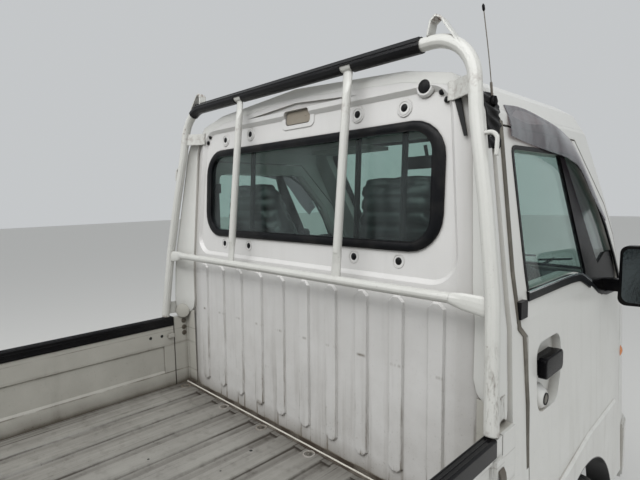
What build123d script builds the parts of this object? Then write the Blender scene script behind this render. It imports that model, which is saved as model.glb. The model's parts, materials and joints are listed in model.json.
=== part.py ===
from build123d import *
from math import atan, cos, pi, radians, sin, sqrt
import os

# Kei truck with its cab over the front axle: millimetres, front towards -Y, left towards +X, ground at Z = 0

# Whole truck
width = 1475
wheelbase = 1905
front_overhang = 877.5
rear_overhang = 612.5
length = front_overhang + wheelbase + rear_overhang
half_width = width / 2
front_y = -length / 2
rear_y = length / 2
front_axle_y = front_y + front_overhang
rear_axle_y = front_axle_y + wheelbase
SIDES = {"left": 1, "right": -1}
AXLES = {"front": front_axle_y, "rear": rear_axle_y}

# Clearances
moving_gap = 5
seat_gap = 0.3
pin_gap = 0.3

# Wheels, each a ring of flat facets
tyre_radius = 271
tyre_width = 145
tyre_facets = 20
bead_radius = 166
bulge_radius = 215
rim_radius = 152
rim_wall = 6
rim_half = 59
flange_height = 12
flange_width = 3.5
well_depth = 20
wheel_x = half_width - tyre_width / 2 - 13
disc_thickness = 10
disc_offset = -4
dish_radius = 99
dish_height = 20
hub_bore = 30
nut_circle = 50
nut_radius = 10
nut_height = 14
nut_count = 4
vent_radius = 12
vent_count = 8

# Steering and suspension
kingpin_x = wheel_x - 100
kingpin_radius = 20
kingpin_low_z = 215
kingpin_high_z = 365
hub_flange_radius = 75
hub_flange_width = 24
stub_radius = 36
strut_radius = 20
arm_thickness = 24
arm_width = 44
axle_radius = 36
diff_radius = 105
diff_width = 150
spring_x = 440
spring_width = 50
spring_leaf = 8
spring_leaves = 4
spring_length = 960
spring_pad = 15
drum_radius = 100
shaft_radius = 30
joint_radius = 42
joint_length = 60

# Ladder frame
rail_x = 340
rail_width = 50
rail_height = 90
rail_front_z = 315
rail_rear_z = 450
cross_width = 60
cross_height = 70
eye_radius = 15
eye_thickness = 10
eye_rim = 12
underrun_z = 430
underrun_height = 90
underrun_depth = 40

# Cab shell
cab_length = 1407.5
cab_bottom_z = 330
belt_z = 1085
cab_wall = 52
roof_z = 1789
roof_edge_z = 1630
flare_z = 700
cab_half = half_width - 17.5
sill_half = cab_half - 23
belt_half = cab_half - 14
belt_side_z = 1150
roof_half = cab_half - 75
front_slope = 0.14
screen_slope = 0.80
nose_arc = 2400
nose_half = 500
nose_drop = 42
corner_inset = 37
corner_drop = 190
taper_drop = 470
back_y = front_y + cab_length
back_z = 1250
back_lean = 0.0659
low_lean = 0.018
panel_low_z = 600
panel_depth = 26
panel_seam = 28
margin_slope = 0.25
margin_x = 588
margin_top_x = 548

# Load bed
bed_front_y = back_y + 13
floor_z = 650
floor_thickness = 24
groove_pitch = 122.5
groove_width = 34
groove_side = 7
groove_depth = 7
gate_thickness = 24
gate_top_z = 945
gate_bottom_z = 622
gate_bead_depth = 5
gate_rim = 45
hinge_radius = 6
hinge_length = 40
hinge_ear = 20
bed_half = half_width - 8 - gate_thickness
post_depth = 62
post_set_back = 11
trim_height = 34
trim_start = {"left": 0, "right": 30}
trim_wall = 3
beam_width = 60
beam_count = 6
sill_width = 34
sill_height = 80
gate_hinge_x = half_width - hinge_radius
gate_hinge_z = gate_bottom_z - hinge_radius
rear_hinge_y = rear_y - hinge_radius
rear_gate_inner_y = rear_y - 2 * hinge_radius + 4 - gate_thickness

# Doors, measured from the cab's back and nose
door_gap = 5
door_rear_y = back_y - 115
door_rear_top_y = back_y - 58
door_front_y = front_y + 407.5
door_low_z = 400
door_step_z = 470
door_kink_z = 1110
door_top_z = 1600
pillar_top_y = front_y + 812
arch_radius = 332
arch_z = 280
window_sill_z = 1212
window_top_z = 1552
window_rear_y = back_y - 127
sash_top_y = front_y + 940
sash_low_y = front_y + 822
glass_depth = 12
handle_z = 1012
handle_length = 125
handle_height = 44
handle_y = back_y - 242
key_z = 926
key_y = back_y - 204

# Lamps and grille in the front panel
lamp_x = cab_half - 162
lamp_z = 720
lamp_width = 230
lamp_height = 150
grille_half = 330
grille_z = 720
grille_height = 70
grille_bars = 3

# Guard frame behind the cab
guard_y = back_y + 61.4
guard_lean = 0.1131
guard_radius = 16
guard_facets = 12
bar_radius = 12.5
guard_foot_z = 952
guard_top_z = 1800
guard_foot_half = bed_half + 12.5
hoop_radius = 115
lower_rail_z = 1217
bar_x = 255
strip = 4

# Bumper
bumper_low_z = 300
bumper_high_z = 520
bumper_depth = 40
bumper_step = 12
bumper_proud = 8.5
bumper_wrap = 300
plate_z = 420
plate_hole_spacing = 210
plate_hole_radius = 3.5
plate_nut_radius = 12

os.makedirs("parts", exist_ok=True)


def back_plane_y(z):
    """Rear face of the cab's back panel: near upright low down, leaning forward round the window."""
    lean_y = back_y - back_lean * (z - back_z)
    low_y = bed_front_y - (z - floor_z) * low_lean
    return min(lean_y, low_y) if z < back_z else lean_y


def guard_plane_y(z):
    """Centre plane of the guard frame, which leans forward more than the panel."""
    return guard_y - guard_lean * (z - back_z)


def side_block(outline, x_low, x_high, radius=0):
    """Solid with an outline given as (y, z) points, between two X positions, its corners rounded."""
    with BuildPart() as block:
        with BuildSketch(Plane.YZ.offset(x_low)) as face:
            with BuildLine():
                Polyline(*outline, close=True)
            make_face()
            if radius:
                fillet(face.vertices(), radius)
        extrude(amount=x_high - x_low)
    return block.part


def front_block(outline, y_low, y_high, radius=0):
    """Solid with an outline given as (x, z) points, between two Y positions, its corners rounded."""
    with BuildPart() as block:
        with BuildSketch(Plane.XZ.offset(-y_low)) as face:
            with BuildLine():
                Polyline(*outline, close=True)
            make_face()
            if radius:
                fillet(face.vertices(), radius)
        extrude(amount=y_low - y_high)
    return block.part


def box_between(low, high):
    """Box between two corners."""
    with BuildPart() as block:
        with Locations([tuple((a + b) / 2 for a, b in zip(low, high))]):
            Box(*(b - a for a, b in zip(low, high)))
    return block.part


def rod(start, end, radius, sides=12):
    """Rod between two points, with a regular polygon for its section or, with no sides, a circle."""
    with BuildPart() as block:
        with BuildSketch(Plane(origin=start, z_dir=tuple(b - a for a, b in zip(start, end)))):
            if sides:
                RegularPolygon(radius, sides, rotation=180 / sides)
            else:
                Circle(radius)
        extrude(amount=sqrt(sum((b - a) ** 2 for a, b in zip(start, end))))
    return block.part


def facet_solid(rings, capped):
    """Solid of flat facets through rings of corners, capped at its ends or closed round on itself."""
    faces = [Face(Wire.make_polygon(rings[end])) for end in (0, -1)] if capped else []
    for near, far in zip(rings, rings[1:] if capped else rings[1:] + rings[:1]):
        for step in range(len(near)):
            a, b, c, d = near[step - 1], near[step], far[step], far[step - 1]
            flat = abs((b - a).cross(c - a).dot(d - a)) < 0.01
            outlines = [(a, b, c, d)] if flat else [(a, b, c), (a, c, d)]
            faces += [Face(Wire.make_polygon(outline)) for outline in outlines]
    return Solid(Shell(faces))


def ring(profile, sides, plane=Plane.YZ):
    """Closed profile of (place along the plane's normal, radius of the flats) carried round a polygon."""
    turns = [(2 * step + 1) * pi / sides for step in range(sides)]
    rings = []
    for place, radius in profile:
        reach = radius / cos(pi / sides)
        corners = [Vector(reach * cos(turn), reach * sin(turn), place) for turn in turns]
        rings.append([plane.from_local_coords(corner) for corner in corners])
    return facet_solid(rings, False)


def write_node(piece, node):
    """Label one finished piece and write its file."""
    piece.label = node
    export_step(piece, f"parts/{node}.step")


def flip(piece, side):
    """The left-hand piece itself, or its mirror image for the right."""
    if side > 0:
        return piece
    return mirror(piece, about=Plane.YZ)


# Cab envelope: plan outline pushed up along the nose and the windscreen, cut to its front-view outline
plan_half = [(cab_half, back_y + 140), (cab_half, front_y + taper_drop),
             (cab_half - corner_inset, front_y + corner_drop), (nose_half, front_y + nose_drop)]
plan = plan_half + [(0, front_y)] + [(-x, y) for x, y in reversed(plan_half)]
with BuildSketch() as plan_face:
    with BuildLine():
        FilletPolyline(*plan, radius=[500, 90, 160, nose_arc, 160, 90, 500])
        Line(plan[-1], plan[0])
    make_face()

section_half = [(sill_half, cab_bottom_z - 100), (sill_half, cab_bottom_z), (cab_half, flare_z),
                (belt_half, belt_side_z), (roof_half, roof_edge_z), (roof_half - 30, roof_edge_z + 60),
                (roof_half - 95, roof_edge_z + 101), (roof_half - 225, roof_edge_z + 130)]


def front_outline(inset):
    """Front-view outline of the cab with soft roof edges, drawn in by inset."""
    points = section_half + [(0, roof_z)] + [(-x, z) for x, z in reversed(section_half)]
    with BuildSketch(Plane.XZ) as face:
        with BuildLine():
            Polyline(*points, close=True)
        make_face()
        fillet(face.vertices().filter_by(lambda v: v.Z > roof_edge_z + 10), 60)
        if inset:
            offset(amount=-inset)
    return face.sketch


def cab_envelope(inset, bottom_z, past_back):
    """Closed block of the cab, drawn in by inset, reaching past its back plane by past_back."""
    side = [(back_plane_y(panel_low_z) + past_back, bottom_z - 10), (back_plane_y(1200) + past_back, 1200),
            (back_plane_y(roof_z + 100) + past_back, roof_z + 100), (front_y - 100, roof_z + 100),
            (front_y - 100, bottom_z - 10)]
    bottom_shift = front_slope * (bottom_z - cab_bottom_z)
    belt_shift = front_slope * (belt_z - cab_bottom_z)
    with BuildSketch() as inset_plan:
        add(plan_face.sketch)
        if inset:
            offset(amount=-inset)
    with BuildPart() as block:
        extrude(to_extrude=Location((0, bottom_shift, bottom_z)) * inset_plan.sketch,
                amount=sqrt(1 + front_slope ** 2) * (belt_z - bottom_z), dir=(0, front_slope, 1))
        extrude(to_extrude=Location((0, belt_shift, belt_z)) * inset_plan.sketch,
                amount=sqrt(1 + screen_slope ** 2) * (roof_z + 60 - belt_z), dir=(0, screen_slope, 1))
        extrude(to_extrude=front_outline(inset), amount=length, both=True, mode=Mode.INTERSECT)
        add(side_block(side, -width, width), mode=Mode.INTERSECT)
    return block.part


def margin_wedge(sign):
    """Block cut from the cab's rear corner, where the back slopes forward towards the side."""
    reach = 300
    sections = []
    for z, x in ((panel_low_z - 300, margin_x), (1200, margin_x), (roof_z + 60, margin_top_x)):
        y = back_plane_y(z)
        with BuildSketch(Plane.XY.offset(z)) as face:
            with BuildLine():
                Polyline((sign * x, y), (sign * (x + reach), y - reach * margin_slope),
                         (sign * (x + reach), y + 40), (sign * x, y + 40), close=True)
            make_face()
        sections.append(face.sketch)
    with BuildPart() as block:
        loft(sections=sections, ruled=True)
    return block.part


wedges = margin_wedge(1) + margin_wedge(-1)
flare_outline = [(front_y + 430, door_low_z), (front_y + 475, 640), (front_y + 540, 712),
                 (front_axle_y - 40, 702), (front_axle_y + 200, 660), (front_axle_y + 330, 560),
                 (front_axle_y + 372, door_low_z)]
flare_proud = 8
skin_layers = {depth: cab_envelope(depth, cab_bottom_z - 60, 100) for depth in (6, glass_depth, 18, cab_wall)}
cab_solid = cab_envelope(0, cab_bottom_z, 0) - wedges
with BuildPart() as arch_flare:
    with BuildSketch(Plane.YZ.offset(sill_half - 40)) as flare_face:
        with BuildLine():
            Polyline(*flare_outline, close=True)
        make_face()
        fillet(flare_face.vertices().filter_by(lambda v: v.Z > door_low_z + 10), 60)
    extrude(amount=cab_half + flare_proud - sill_half + 40)
    chamfer(arch_flare.faces().sort_by(Axis.X)[-1].edges(), flare_proud - 1)
cab_outer = cab_solid + arch_flare.part + flip(arch_flare.part, -1)
cab_shell = cab_outer - skin_layers[cab_wall]

# Rebate for the back panel, inside the cab's rear edge
panel_section = [(back_plane_y(z), z) for z in (panel_low_z - 1, 1200, roof_z + 40)]
panel_section += [(back_plane_y(z) - panel_depth, z) for z in (roof_z + 40, 1200, panel_low_z - 1)]
with BuildPart() as panel_block:
    add(side_block(panel_section, -width, width))
    extrude(to_extrude=front_outline(panel_seam), amount=length, both=True, mode=Mode.INTERSECT)
    add(box_between((-width, -length, panel_low_z), (width, length, roof_z + 50)), mode=Mode.INTERSECT)
shell_rest = cab_shell - panel_block.part

# Door outline in side view, and its window with the black sash and mirror corner in front of the glass
door_outline = [(door_front_y, door_low_z), (front_axle_y, door_low_z), (front_axle_y, door_step_z),
                (door_rear_y, door_step_z), (door_rear_y, door_kink_z), (door_rear_top_y, door_kink_z + 45),
                (door_rear_top_y - 30, door_top_z), (pillar_top_y, door_top_z), (front_y + 569.5, 1400),
                (front_y + 435.5, 1190), (door_front_y, 1120)]
window_outline = [(window_rear_y, window_sill_z), (sash_low_y + 90, window_sill_z), (sash_low_y, 1172),
                  (front_y + 690, 1110), (front_y + 490, 1100), (front_y + 478, 1160), (front_y + 612, 1385),
                  (front_y + 802, window_top_z), (window_rear_y, window_top_z)]
sail_outline = [(front_y + 400, 1000), (sash_low_y, 1000), (sash_low_y, window_sill_z),
                (sash_top_y, window_top_z + 8), (front_y + 907, window_top_z + 8), (front_y + 690, window_sill_z),
                (front_y + 600, 1240), (front_y + 500, 1240)]


def outline_solid(outline, amount, x_low, x_high, radius=0):
    """Side-view outline widened by amount, as a block between two X positions."""
    with BuildPart() as block:
        with BuildSketch(Plane.YZ.offset(x_low)) as face:
            with BuildLine():
                Polyline(*outline, close=True)
            make_face()
            if radius:
                fillet(face.vertices(), radius)
            if amount:
                offset(amount=amount, kind=Kind.INTERSECTION)
        extrude(amount=x_high - x_low)
    return block.part


def arch_solid(radius, x_low, x_high):
    """Round wheel arch, open below, between two X positions."""
    with BuildPart() as block:
        with BuildSketch(Plane.YZ.offset(x_low)):
            with Locations((front_axle_y, arch_z)):
                Circle(radius)
            with Locations((front_axle_y, arch_z - radius / 2)):
                Rectangle(2 * radius, radius)
        extrude(amount=x_high - x_low)
    return block.part


side_zone_depth = 190
side_zone = box_between((cab_half - side_zone_depth, front_y - 50, 0), (width, back_y + 100, roof_edge_z + 10))
window_solid = outline_solid(window_outline, 0, 0, width, 24)
arch_cut = arch_solid(arch_radius, 0, width)
handle_recess = [(handle_y + 76, handle_z + 64), (handle_y + 76, handle_z - 112),
                 (handle_y - 60, handle_z - 118), (handle_y - 98, handle_z - 20), (handle_y - 85, handle_z + 64)]
recess_floor_x = cab_half - 32

# Door: outer skin, inner skin and frame as one thick shell piece, its window and handle recess cut out
with BuildPart() as left_door:
    add(shell_rest)
    add(side_zone, mode=Mode.INTERSECT)
    add(outline_solid(door_outline, 0, 0, width), mode=Mode.INTERSECT)
    add(window_solid, mode=Mode.SUBTRACT)
    add(arch_cut, mode=Mode.SUBTRACT)
    add(outline_solid(handle_recess, 0, recess_floor_x, width, 38), mode=Mode.SUBTRACT)

# Body side: pillars, sill, roof rail and quarter panel round the door
with BuildPart() as left_body_side:
    add(shell_rest)
    add(side_zone, mode=Mode.INTERSECT)
    add(side_block([(door_front_y - door_gap, 0), (back_y + 100, 0), (back_y + 100, roof_z),
                    (front_y - 50, roof_z), (front_y - 50, belt_z), (door_front_y - door_gap, belt_z)], 0, width),
        mode=Mode.INTERSECT)
    add(outline_solid(door_outline, door_gap, 0, width), mode=Mode.SUBTRACT)
    add(arch_cut, mode=Mode.SUBTRACT)

# Windscreen opening in front view
screen_half = cab_half - 135
screen_lean = 50
screen_low_z = belt_z + 25
screen_high_z = 1690
screen_rim = 12


def screen_block(grow):
    """Windscreen outline as a block through the cab's nose, wider by grow."""
    low, high = screen_half + grow, screen_half - screen_lean + grow
    outline = [(-low, screen_low_z - grow), (low, screen_low_z - grow), (high, screen_high_z + grow),
               (-high, screen_high_z + grow)]
    return front_block(outline, front_y - 50, front_y + 1000, 70 + grow)


screen_cut = screen_block(0)
screen_inner = screen_block(-screen_rim)
body_side = left_body_side.part - screen_cut
glass_skin = (skin_layers[glass_depth] - skin_layers[18]) & side_zone
side_glass = glass_skin & window_solid - outline_solid(sail_outline, seat_gap, 0, width)
sail_skin = (skin_layers[6] - skin_layers[18]) & side_zone
mirror_sail = sail_skin & outline_solid(sail_outline, 0, 0, width) & window_solid
for side, sign in SIDES.items():
    write_node(flip(left_door.part, sign), f"{side}_door")
    write_node(flip(body_side, sign), f"{side}_body_side")
    write_node(flip(side_glass, sign), f"{side}_door_glass")

# Roof: crowned panel between the body sides, with the header over the windscreen
with BuildPart() as roof_panel:
    add(shell_rest)
    add(box_between((-width, front_y - 50, roof_edge_z + 10), (width, back_y + 100, roof_z + 50)),
        mode=Mode.INTERSECT)
    add(screen_cut, mode=Mode.SUBTRACT)
write_node(roof_panel.part, "roof_panel")

# Front panel below the windscreen, with lamp pockets, a slatted grille and clearance for the plate's nuts
skin_band = cab_solid - skin_layers[18]


def lamp_block(sign, inset):
    """Headlamp outline as a block through the nose, smaller by inset on every side."""
    low_x, high_x = sorted((sign * (lamp_x - lamp_width / 2 + inset), sign * (lamp_x + lamp_width / 2 - inset)))
    low_z, high_z = lamp_z - lamp_height / 2 + inset, lamp_z + lamp_height / 2 - inset
    outline = [(low_x, low_z), (high_x, low_z), (high_x, high_z), (low_x, high_z)]
    return front_block(outline, front_y - 50, front_y + 400, 26 - inset)


with BuildPart() as grille_slots:
    with BuildSketch(Plane.XZ.offset(-front_y - 200)):
        with Locations((0, grille_z)):
            with GridLocations(1, grille_height / grille_bars, 1, grille_bars):
                Rectangle(2 * grille_half, grille_height / grille_bars - 8)
    extrude(amount=400)
grille_cut = grille_slots.part

cowl_half = cab_half - side_zone_depth
with BuildPart() as front_panel:
    add(shell_rest)
    add(box_between((-width, front_y - 50, 0), (width, door_front_y - door_gap, belt_z))
        + box_between((-cowl_half, front_y - 50, 0), (cowl_half, front_y + 300, belt_z + 100)), mode=Mode.INTERSECT)
    add(screen_cut, mode=Mode.SUBTRACT)
    for sign in SIDES.values():
        add(lamp_block(sign, 0), mode=Mode.SUBTRACT)
    add(grille_cut & skin_band, mode=Mode.SUBTRACT)
    with BuildSketch(Plane.XZ.offset(-front_y - 200)):
        with Locations((0, plate_z)):
            with GridLocations(plate_hole_spacing, 1, 2, 1):
                RegularPolygon(plate_nut_radius, 8)
    extrude(amount=400, mode=Mode.SUBTRACT)
write_node(front_panel.part, "front_panel")
with BuildPart() as headlamps:
    for sign in SIDES.values():
        add(lamp_block(sign, seat_gap))
    add(cab_shell, mode=Mode.INTERSECT)
write_node(headlamps.part, "headlamps")

# Cab back panel: ribbed low down, sunk round the window, with bolt bosses, vent boss and a top ledge
window_half = 515
window_low_z = 1315
window_high_z = 1620
window_radius = 72
pan_depth = 12
pan_low_half = window_half + 78
pan_high_half = window_half + 38
pan_low_z = 1226
pan_high_z = 1712
pan_radius = 75
pan_slope = 12
rib_pitch = 119
rib_width = 50
rib_height = 7
rib_count = 10
rib_low_z = 706
rib_high_z = 1188
ledge_z = 1727
boss_radius = 25
boss_height = 3
panel_bolt_radius = 7.5
panel_bolts = [(413, 1670), (254, 1675), (410, 1274), (254, 1274)]
clamp_bolt_radius = 5.5
clamp_bolts = [(522, 1692), (537, 1671)]
lead_hole = (-476, 1712)
lead_hole_radius = 14
vent_centre_z = 1702
vent_size = (117, 45)
vent_boss = (156, 74)
low_angle = atan((back_plane_y(rib_low_z) - back_plane_y(rib_high_z)) / (rib_high_z - rib_low_z))
low_plane = Plane(origin=(0, back_plane_y(rib_low_z), rib_low_z), x_dir=(-1, 0, 0),
                  z_dir=(0, cos(low_angle), sin(low_angle)))
high_plane = Plane(origin=(0, back_y, back_z), x_dir=(-1, 0, 0), z_dir=(0, 1, back_lean))
high_scale = sqrt(1 + back_lean ** 2)


def on_panel(x, z):
    """Point of the upper back panel's plane at a given width and height."""
    return (-x, (z - back_z) * high_scale)


def pan_face(depth, grow):
    """Outline of the pan round the window, at a depth below the panel's face."""
    low, high = pan_low_half + grow, pan_high_half + grow
    with BuildSketch(high_plane.offset(-depth)) as face:
        with BuildLine():
            Polyline(on_panel(-low, pan_low_z - grow), on_panel(low, pan_low_z - grow),
                     on_panel(high, pan_high_z + grow), on_panel(-high, pan_high_z + grow), close=True)
        make_face()
        fillet(face.vertices(), pan_radius + grow)
    return face.sketch


with BuildPart() as pan:
    loft(sections=[pan_face(-pan_slope / 2, pan_slope / 2), pan_face(pan_depth, -pan_slope)], ruled=True)
window_face = [(-window_half, window_low_z), (window_half, window_low_z),
               (window_half, window_high_z), (-window_half, window_high_z)]
window_block = front_block(window_face, front_y / 2, back_y + 200, window_radius)
with BuildPart() as ledge:
    extrude(to_extrude=front_outline(panel_seam + 16), amount=length, both=True)
    add(box_between((-margin_top_x, -length, ledge_z), (margin_top_x, length, roof_z)), mode=Mode.INTERSECT)
    ledge_section = [(back_plane_y(z) + away, z) for z, away in ((ledge_z, 1), (roof_z, 1), (roof_z, -8), (ledge_z, -8))]
    add(side_block(ledge_section, -width, width), mode=Mode.INTERSECT)
rib_cut = 15
rib_half, rib_reach = rib_width / 2, (rib_high_z - rib_low_z) / 2
rib_corners = [(rib_half, rib_reach - rib_cut, 1, 1), (rib_half - rib_cut, rib_reach, 1, 1),
               (rib_half - rib_cut, rib_reach, -1, 1), (rib_half, rib_reach - rib_cut, -1, 1),
               (rib_half, rib_reach - rib_cut, -1, -1), (rib_half - rib_cut, rib_reach, -1, -1),
               (rib_half - rib_cut, rib_reach, 1, -1), (rib_half, rib_reach - rib_cut, 1, -1)]
with BuildPart() as cab_back_panel:
    add(panel_block.part - wedges)
    add(pan.part, mode=Mode.SUBTRACT)
    add(ledge.part, mode=Mode.SUBTRACT)
    with BuildSketch(low_plane.offset(-1)):
        with Locations((0, (rib_high_z - rib_low_z) / 2)):
            with GridLocations(rib_pitch, 1, rib_count, 1):
                Polygon(*[(sign * x, end * y) for x, y, sign, end in rib_corners])
    extrude(amount=rib_height + 1, taper=30)
    with BuildSketch(high_plane.offset(-pan_depth - 1)):
        with Locations([on_panel(sign * x, z) for x, z in panel_bolts[:2] for sign in (-1, 1)]):
            RegularPolygon(boss_radius, 12)
        with Locations(on_panel(0, vent_centre_z)):
            RectangleRounded(*vent_boss, 20)
    extrude(amount=boss_height + 1, taper=30)
    add(window_block, mode=Mode.SUBTRACT)
    with BuildSketch(high_plane.offset(2)):
        with Locations([on_panel(sign * x, z) for x, z in panel_bolts for sign in (-1, 1)]):
            RegularPolygon(panel_bolt_radius, 8)
        with Locations([on_panel(sign * x, z) for x, z in clamp_bolts for sign in (-1, 1)]):
            RegularPolygon(clamp_bolt_radius, 8)
        with Locations(on_panel(*lead_hole)):
            RegularPolygon(lead_hole_radius, 12)
    extrude(amount=-panel_depth - 10, mode=Mode.SUBTRACT)
    with BuildSketch(high_plane.offset(2)):
        with Locations(on_panel(0, vent_centre_z)):
            RectangleRounded(*vent_size, 12)
    extrude(amount=-panel_depth + 4, mode=Mode.SUBTRACT)
write_node(cab_back_panel.part, "cab_back_panel")

# Fixed glass and the rubber round it
rubber_lip = 12
rear_glass_depth = 14


def lean_slab(depth_from, depth_to):
    """Slab parallel to the upper back panel, between two depths behind its rear face."""
    low_z, high_z = window_low_z - 100, window_high_z + 100
    outline = [(back_plane_y(back_z) - back_lean * (z - back_z) - depth, z) for depth, z in
               ((depth_from, low_z), (depth_from, high_z), (depth_to, high_z), (depth_to, low_z))]
    return side_block(outline, -width, width)


def window_inset(amount):
    """Block through the rear window, smaller by amount on every side."""
    outline = [(-window_half + amount, window_low_z + amount), (window_half - amount, window_low_z + amount),
               (window_half - amount, window_high_z - amount), (-window_half + amount, window_high_z - amount)]
    return front_block(outline, front_y / 2, back_y + 200, window_radius - (amount if amount > 1 else 0))


rear_glass = lean_slab(rear_glass_depth, rear_glass_depth + 5) & window_inset(rubber_lip)
rear_rubber = (lean_slab(pan_depth - 8, pan_depth + 14) & window_inset(seat_gap)) - window_inset(rubber_lip)
screen_glass = (skin_layers[6] - skin_layers[glass_depth]) & screen_inner
screen_rubber = (skin_band & screen_block(-1)) - screen_inner
write_node(Compound(children=[rear_glass, screen_glass]), "cab_glass")
write_node(Compound(children=[rear_rubber, screen_rubber]), "window_rubbers")

# Cab floor: footwell, riser in front of the wheels and the seat platform over them
floor_sheet = 22
foot_z = 440
platform_z = 620
riser_y = front_axle_y - arch_radius - 45
floor_front_y = front_y + 90
floor_rear_y = back_plane_y(panel_low_z) - panel_depth - 4
floor_section = [(floor_front_y, foot_z), (riser_y, foot_z), (riser_y, platform_z), (floor_rear_y, platform_z),
                 (floor_rear_y, platform_z - floor_sheet), (riser_y + floor_sheet, platform_z - floor_sheet),
                 (riser_y + floor_sheet, foot_z - floor_sheet), (floor_front_y, foot_z - floor_sheet)]
with BuildPart() as cab_floor:
    add(side_block(floor_section, -half_width, half_width))
    add(skin_layers[cab_wall], mode=Mode.INTERSECT)
write_node(cab_floor.part, "cab_floor")

# Frame rails with a towing eye under each end of the left one, and the members across them
kick_front_y = back_y - 30
kick_rear_y = back_y + 170
rail_front_y = front_y + 120
rail_rear_y = rear_y - 70
eye_z = bumper_low_z - eye_radius - 10
rear_eye_z = underrun_z - underrun_height / 2 - 2 * eye_radius
rail_section = [(rail_front_y, rail_front_z), (kick_front_y, rail_front_z), (kick_rear_y, rail_rear_z),
                (rail_rear_y, rail_rear_z), (rail_rear_y, rail_rear_z + rail_height),
                (kick_rear_y - 20, rail_rear_z + rail_height), (kick_front_y - 20, rail_front_z + rail_height),
                (rail_front_y, rail_front_z + rail_height)]
eyes = [(rail_front_y + 30, eye_z, rail_front_z), (rail_rear_y - 30, rear_eye_z, rail_rear_z)]
with BuildPart() as ladder_frame:
    for sign in SIDES.values():
        add(side_block(rail_section, sign * rail_x - rail_width / 2, sign * rail_x + rail_width / 2))
    for eye_y, centre_z, top_z in eyes:
        eye_reach = eye_radius + eye_rim
        add(box_between((rail_x - eye_thickness / 2, eye_y - eye_reach, centre_z - eye_reach),
                        (rail_x + eye_thickness / 2, eye_y + eye_reach, top_z + 10)))
        with BuildSketch(Plane.YZ.offset(rail_x)):
            with Locations((eye_y, centre_z)):
                Circle(eye_radius)
        extrude(amount=rail_width, both=True, mode=Mode.SUBTRACT)
write_node(ladder_frame.part, "ladder_frame")

inner_half = rail_x - rail_width / 2
spring_front_y = rear_axle_y - spring_length / 2
cross_places = [(rail_front_y + 90, rail_front_z), (front_axle_y - 360, rail_front_z),
                (kick_rear_y + 60, rail_rear_z), (spring_front_y - 200, rail_rear_z),
                (rear_axle_y - 265, rail_rear_z), (rear_axle_y + 245, rail_rear_z),
                (rail_rear_y - 60, rail_rear_z)]
with BuildPart() as cross_members:
    for cross_y, low_z in cross_places:
        with Locations((0, cross_y, low_z + rail_height / 2)):
            Box(2 * inner_half, cross_width, cross_height)
    with Locations((0, rail_rear_y + underrun_depth / 2, underrun_z)):
        Box(2 * (half_width - 77), underrun_depth, underrun_height)
    for sign in SIDES.values():
        with Locations((sign * rail_x, rail_rear_y + underrun_depth / 2, rail_rear_z + rail_height / 2)):
            Box(rail_width, underrun_depth, rail_height)
write_node(cross_members.part, "cross_members")

# Load bed: corrugated floor, cross beams and side sills under it, corner posts by the cab
bed_start_y = back_plane_y(panel_low_z) + seat_gap
bed_rear_y = rear_gate_inner_y - moving_gap
floor_half_width = bed_half - moving_gap
groove_count = 2 * int((bed_half - 90) // groove_pitch)
groove_half = groove_width / 2
groove_profile = [(-groove_half - groove_side, 0), (-groove_half, -groove_depth), (groove_half, -groove_depth),
                  (groove_half + groove_side, 0)]
floor_top = [(-floor_half_width, floor_z)]
for step in range(groove_count):
    groove_x = (step - (groove_count - 1) / 2) * groove_pitch
    floor_top += [(groove_x + across, floor_z + down) for across, down in groove_profile]
floor_top += [(floor_half_width, floor_z), (floor_half_width, floor_z - floor_thickness),
              (-floor_half_width, floor_z - floor_thickness)]
land_length = 34
with BuildPart() as bed_floor:
    add(front_block(floor_top, bed_start_y, bed_rear_y))
    for end_y, inward in ((bed_start_y, 1), (bed_rear_y, -1)):
        low_y, high_y = sorted((end_y, end_y + inward * land_length))
        add(box_between((-floor_half_width, low_y, floor_z - groove_depth - 1),
                        (floor_half_width, high_y, floor_z)))
write_node(bed_floor.part, "bed_floor")

beam_low_z = rail_rear_z + rail_height
beam_high_z = floor_z - floor_thickness
end_sill = 14
beam_span = bed_rear_y - end_sill - bed_start_y - beam_width
sill_inner_x = floor_half_width - sill_width
post_front_y = bed_front_y - post_set_back
side_gate_front_y = post_front_y + post_depth + moving_gap
side_gate_rear_y = rear_gate_inner_y - moving_gap
hinge_end = 120
side_hinge_step = (side_gate_rear_y - side_gate_front_y - 2 * hinge_end) / 3
side_hinges = [side_gate_front_y + hinge_end + step * side_hinge_step for step in range(4)]
rear_hinges = [share * floor_half_width for share in (-0.75, -0.25, 0.25, 0.75)]
ear_shift = (hinge_length + hinge_ear) / 2 + seat_gap
with BuildPart() as bed_beams:
    for step in range(beam_count):
        beam_y = bed_start_y + beam_width / 2 + step * beam_span / (beam_count - 1)
        with Locations((0, beam_y, (beam_low_z + beam_high_z) / 2)):
            Box(2 * sill_inner_x, beam_width, beam_high_z - beam_low_z)
write_node(bed_beams.part, "bed_beams")


def hinge_knuckle(centre, along_y, knuckle_length, reach, drop, sides):
    """Round hinge knuckle with a flat leaf that reaches inwards from it, at the height of its axis."""
    x, y, z = centre
    half = knuckle_length / 2
    if along_y:
        low, high = sorted((x, x - reach))
        leaf = box_between((low, y - half, z - drop - 3), (high, y + half, z - drop + 3))
        return rod((x, y - half, z), (x, y + half, z), hinge_radius, sides) + leaf
    low, high = sorted((y, y - reach))
    leaf = box_between((x - half, low, z - drop - 3), (x + half, high, z - drop + 3))
    return rod((x - half, y, z), (x + half, y, z), hinge_radius, sides) + leaf


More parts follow.
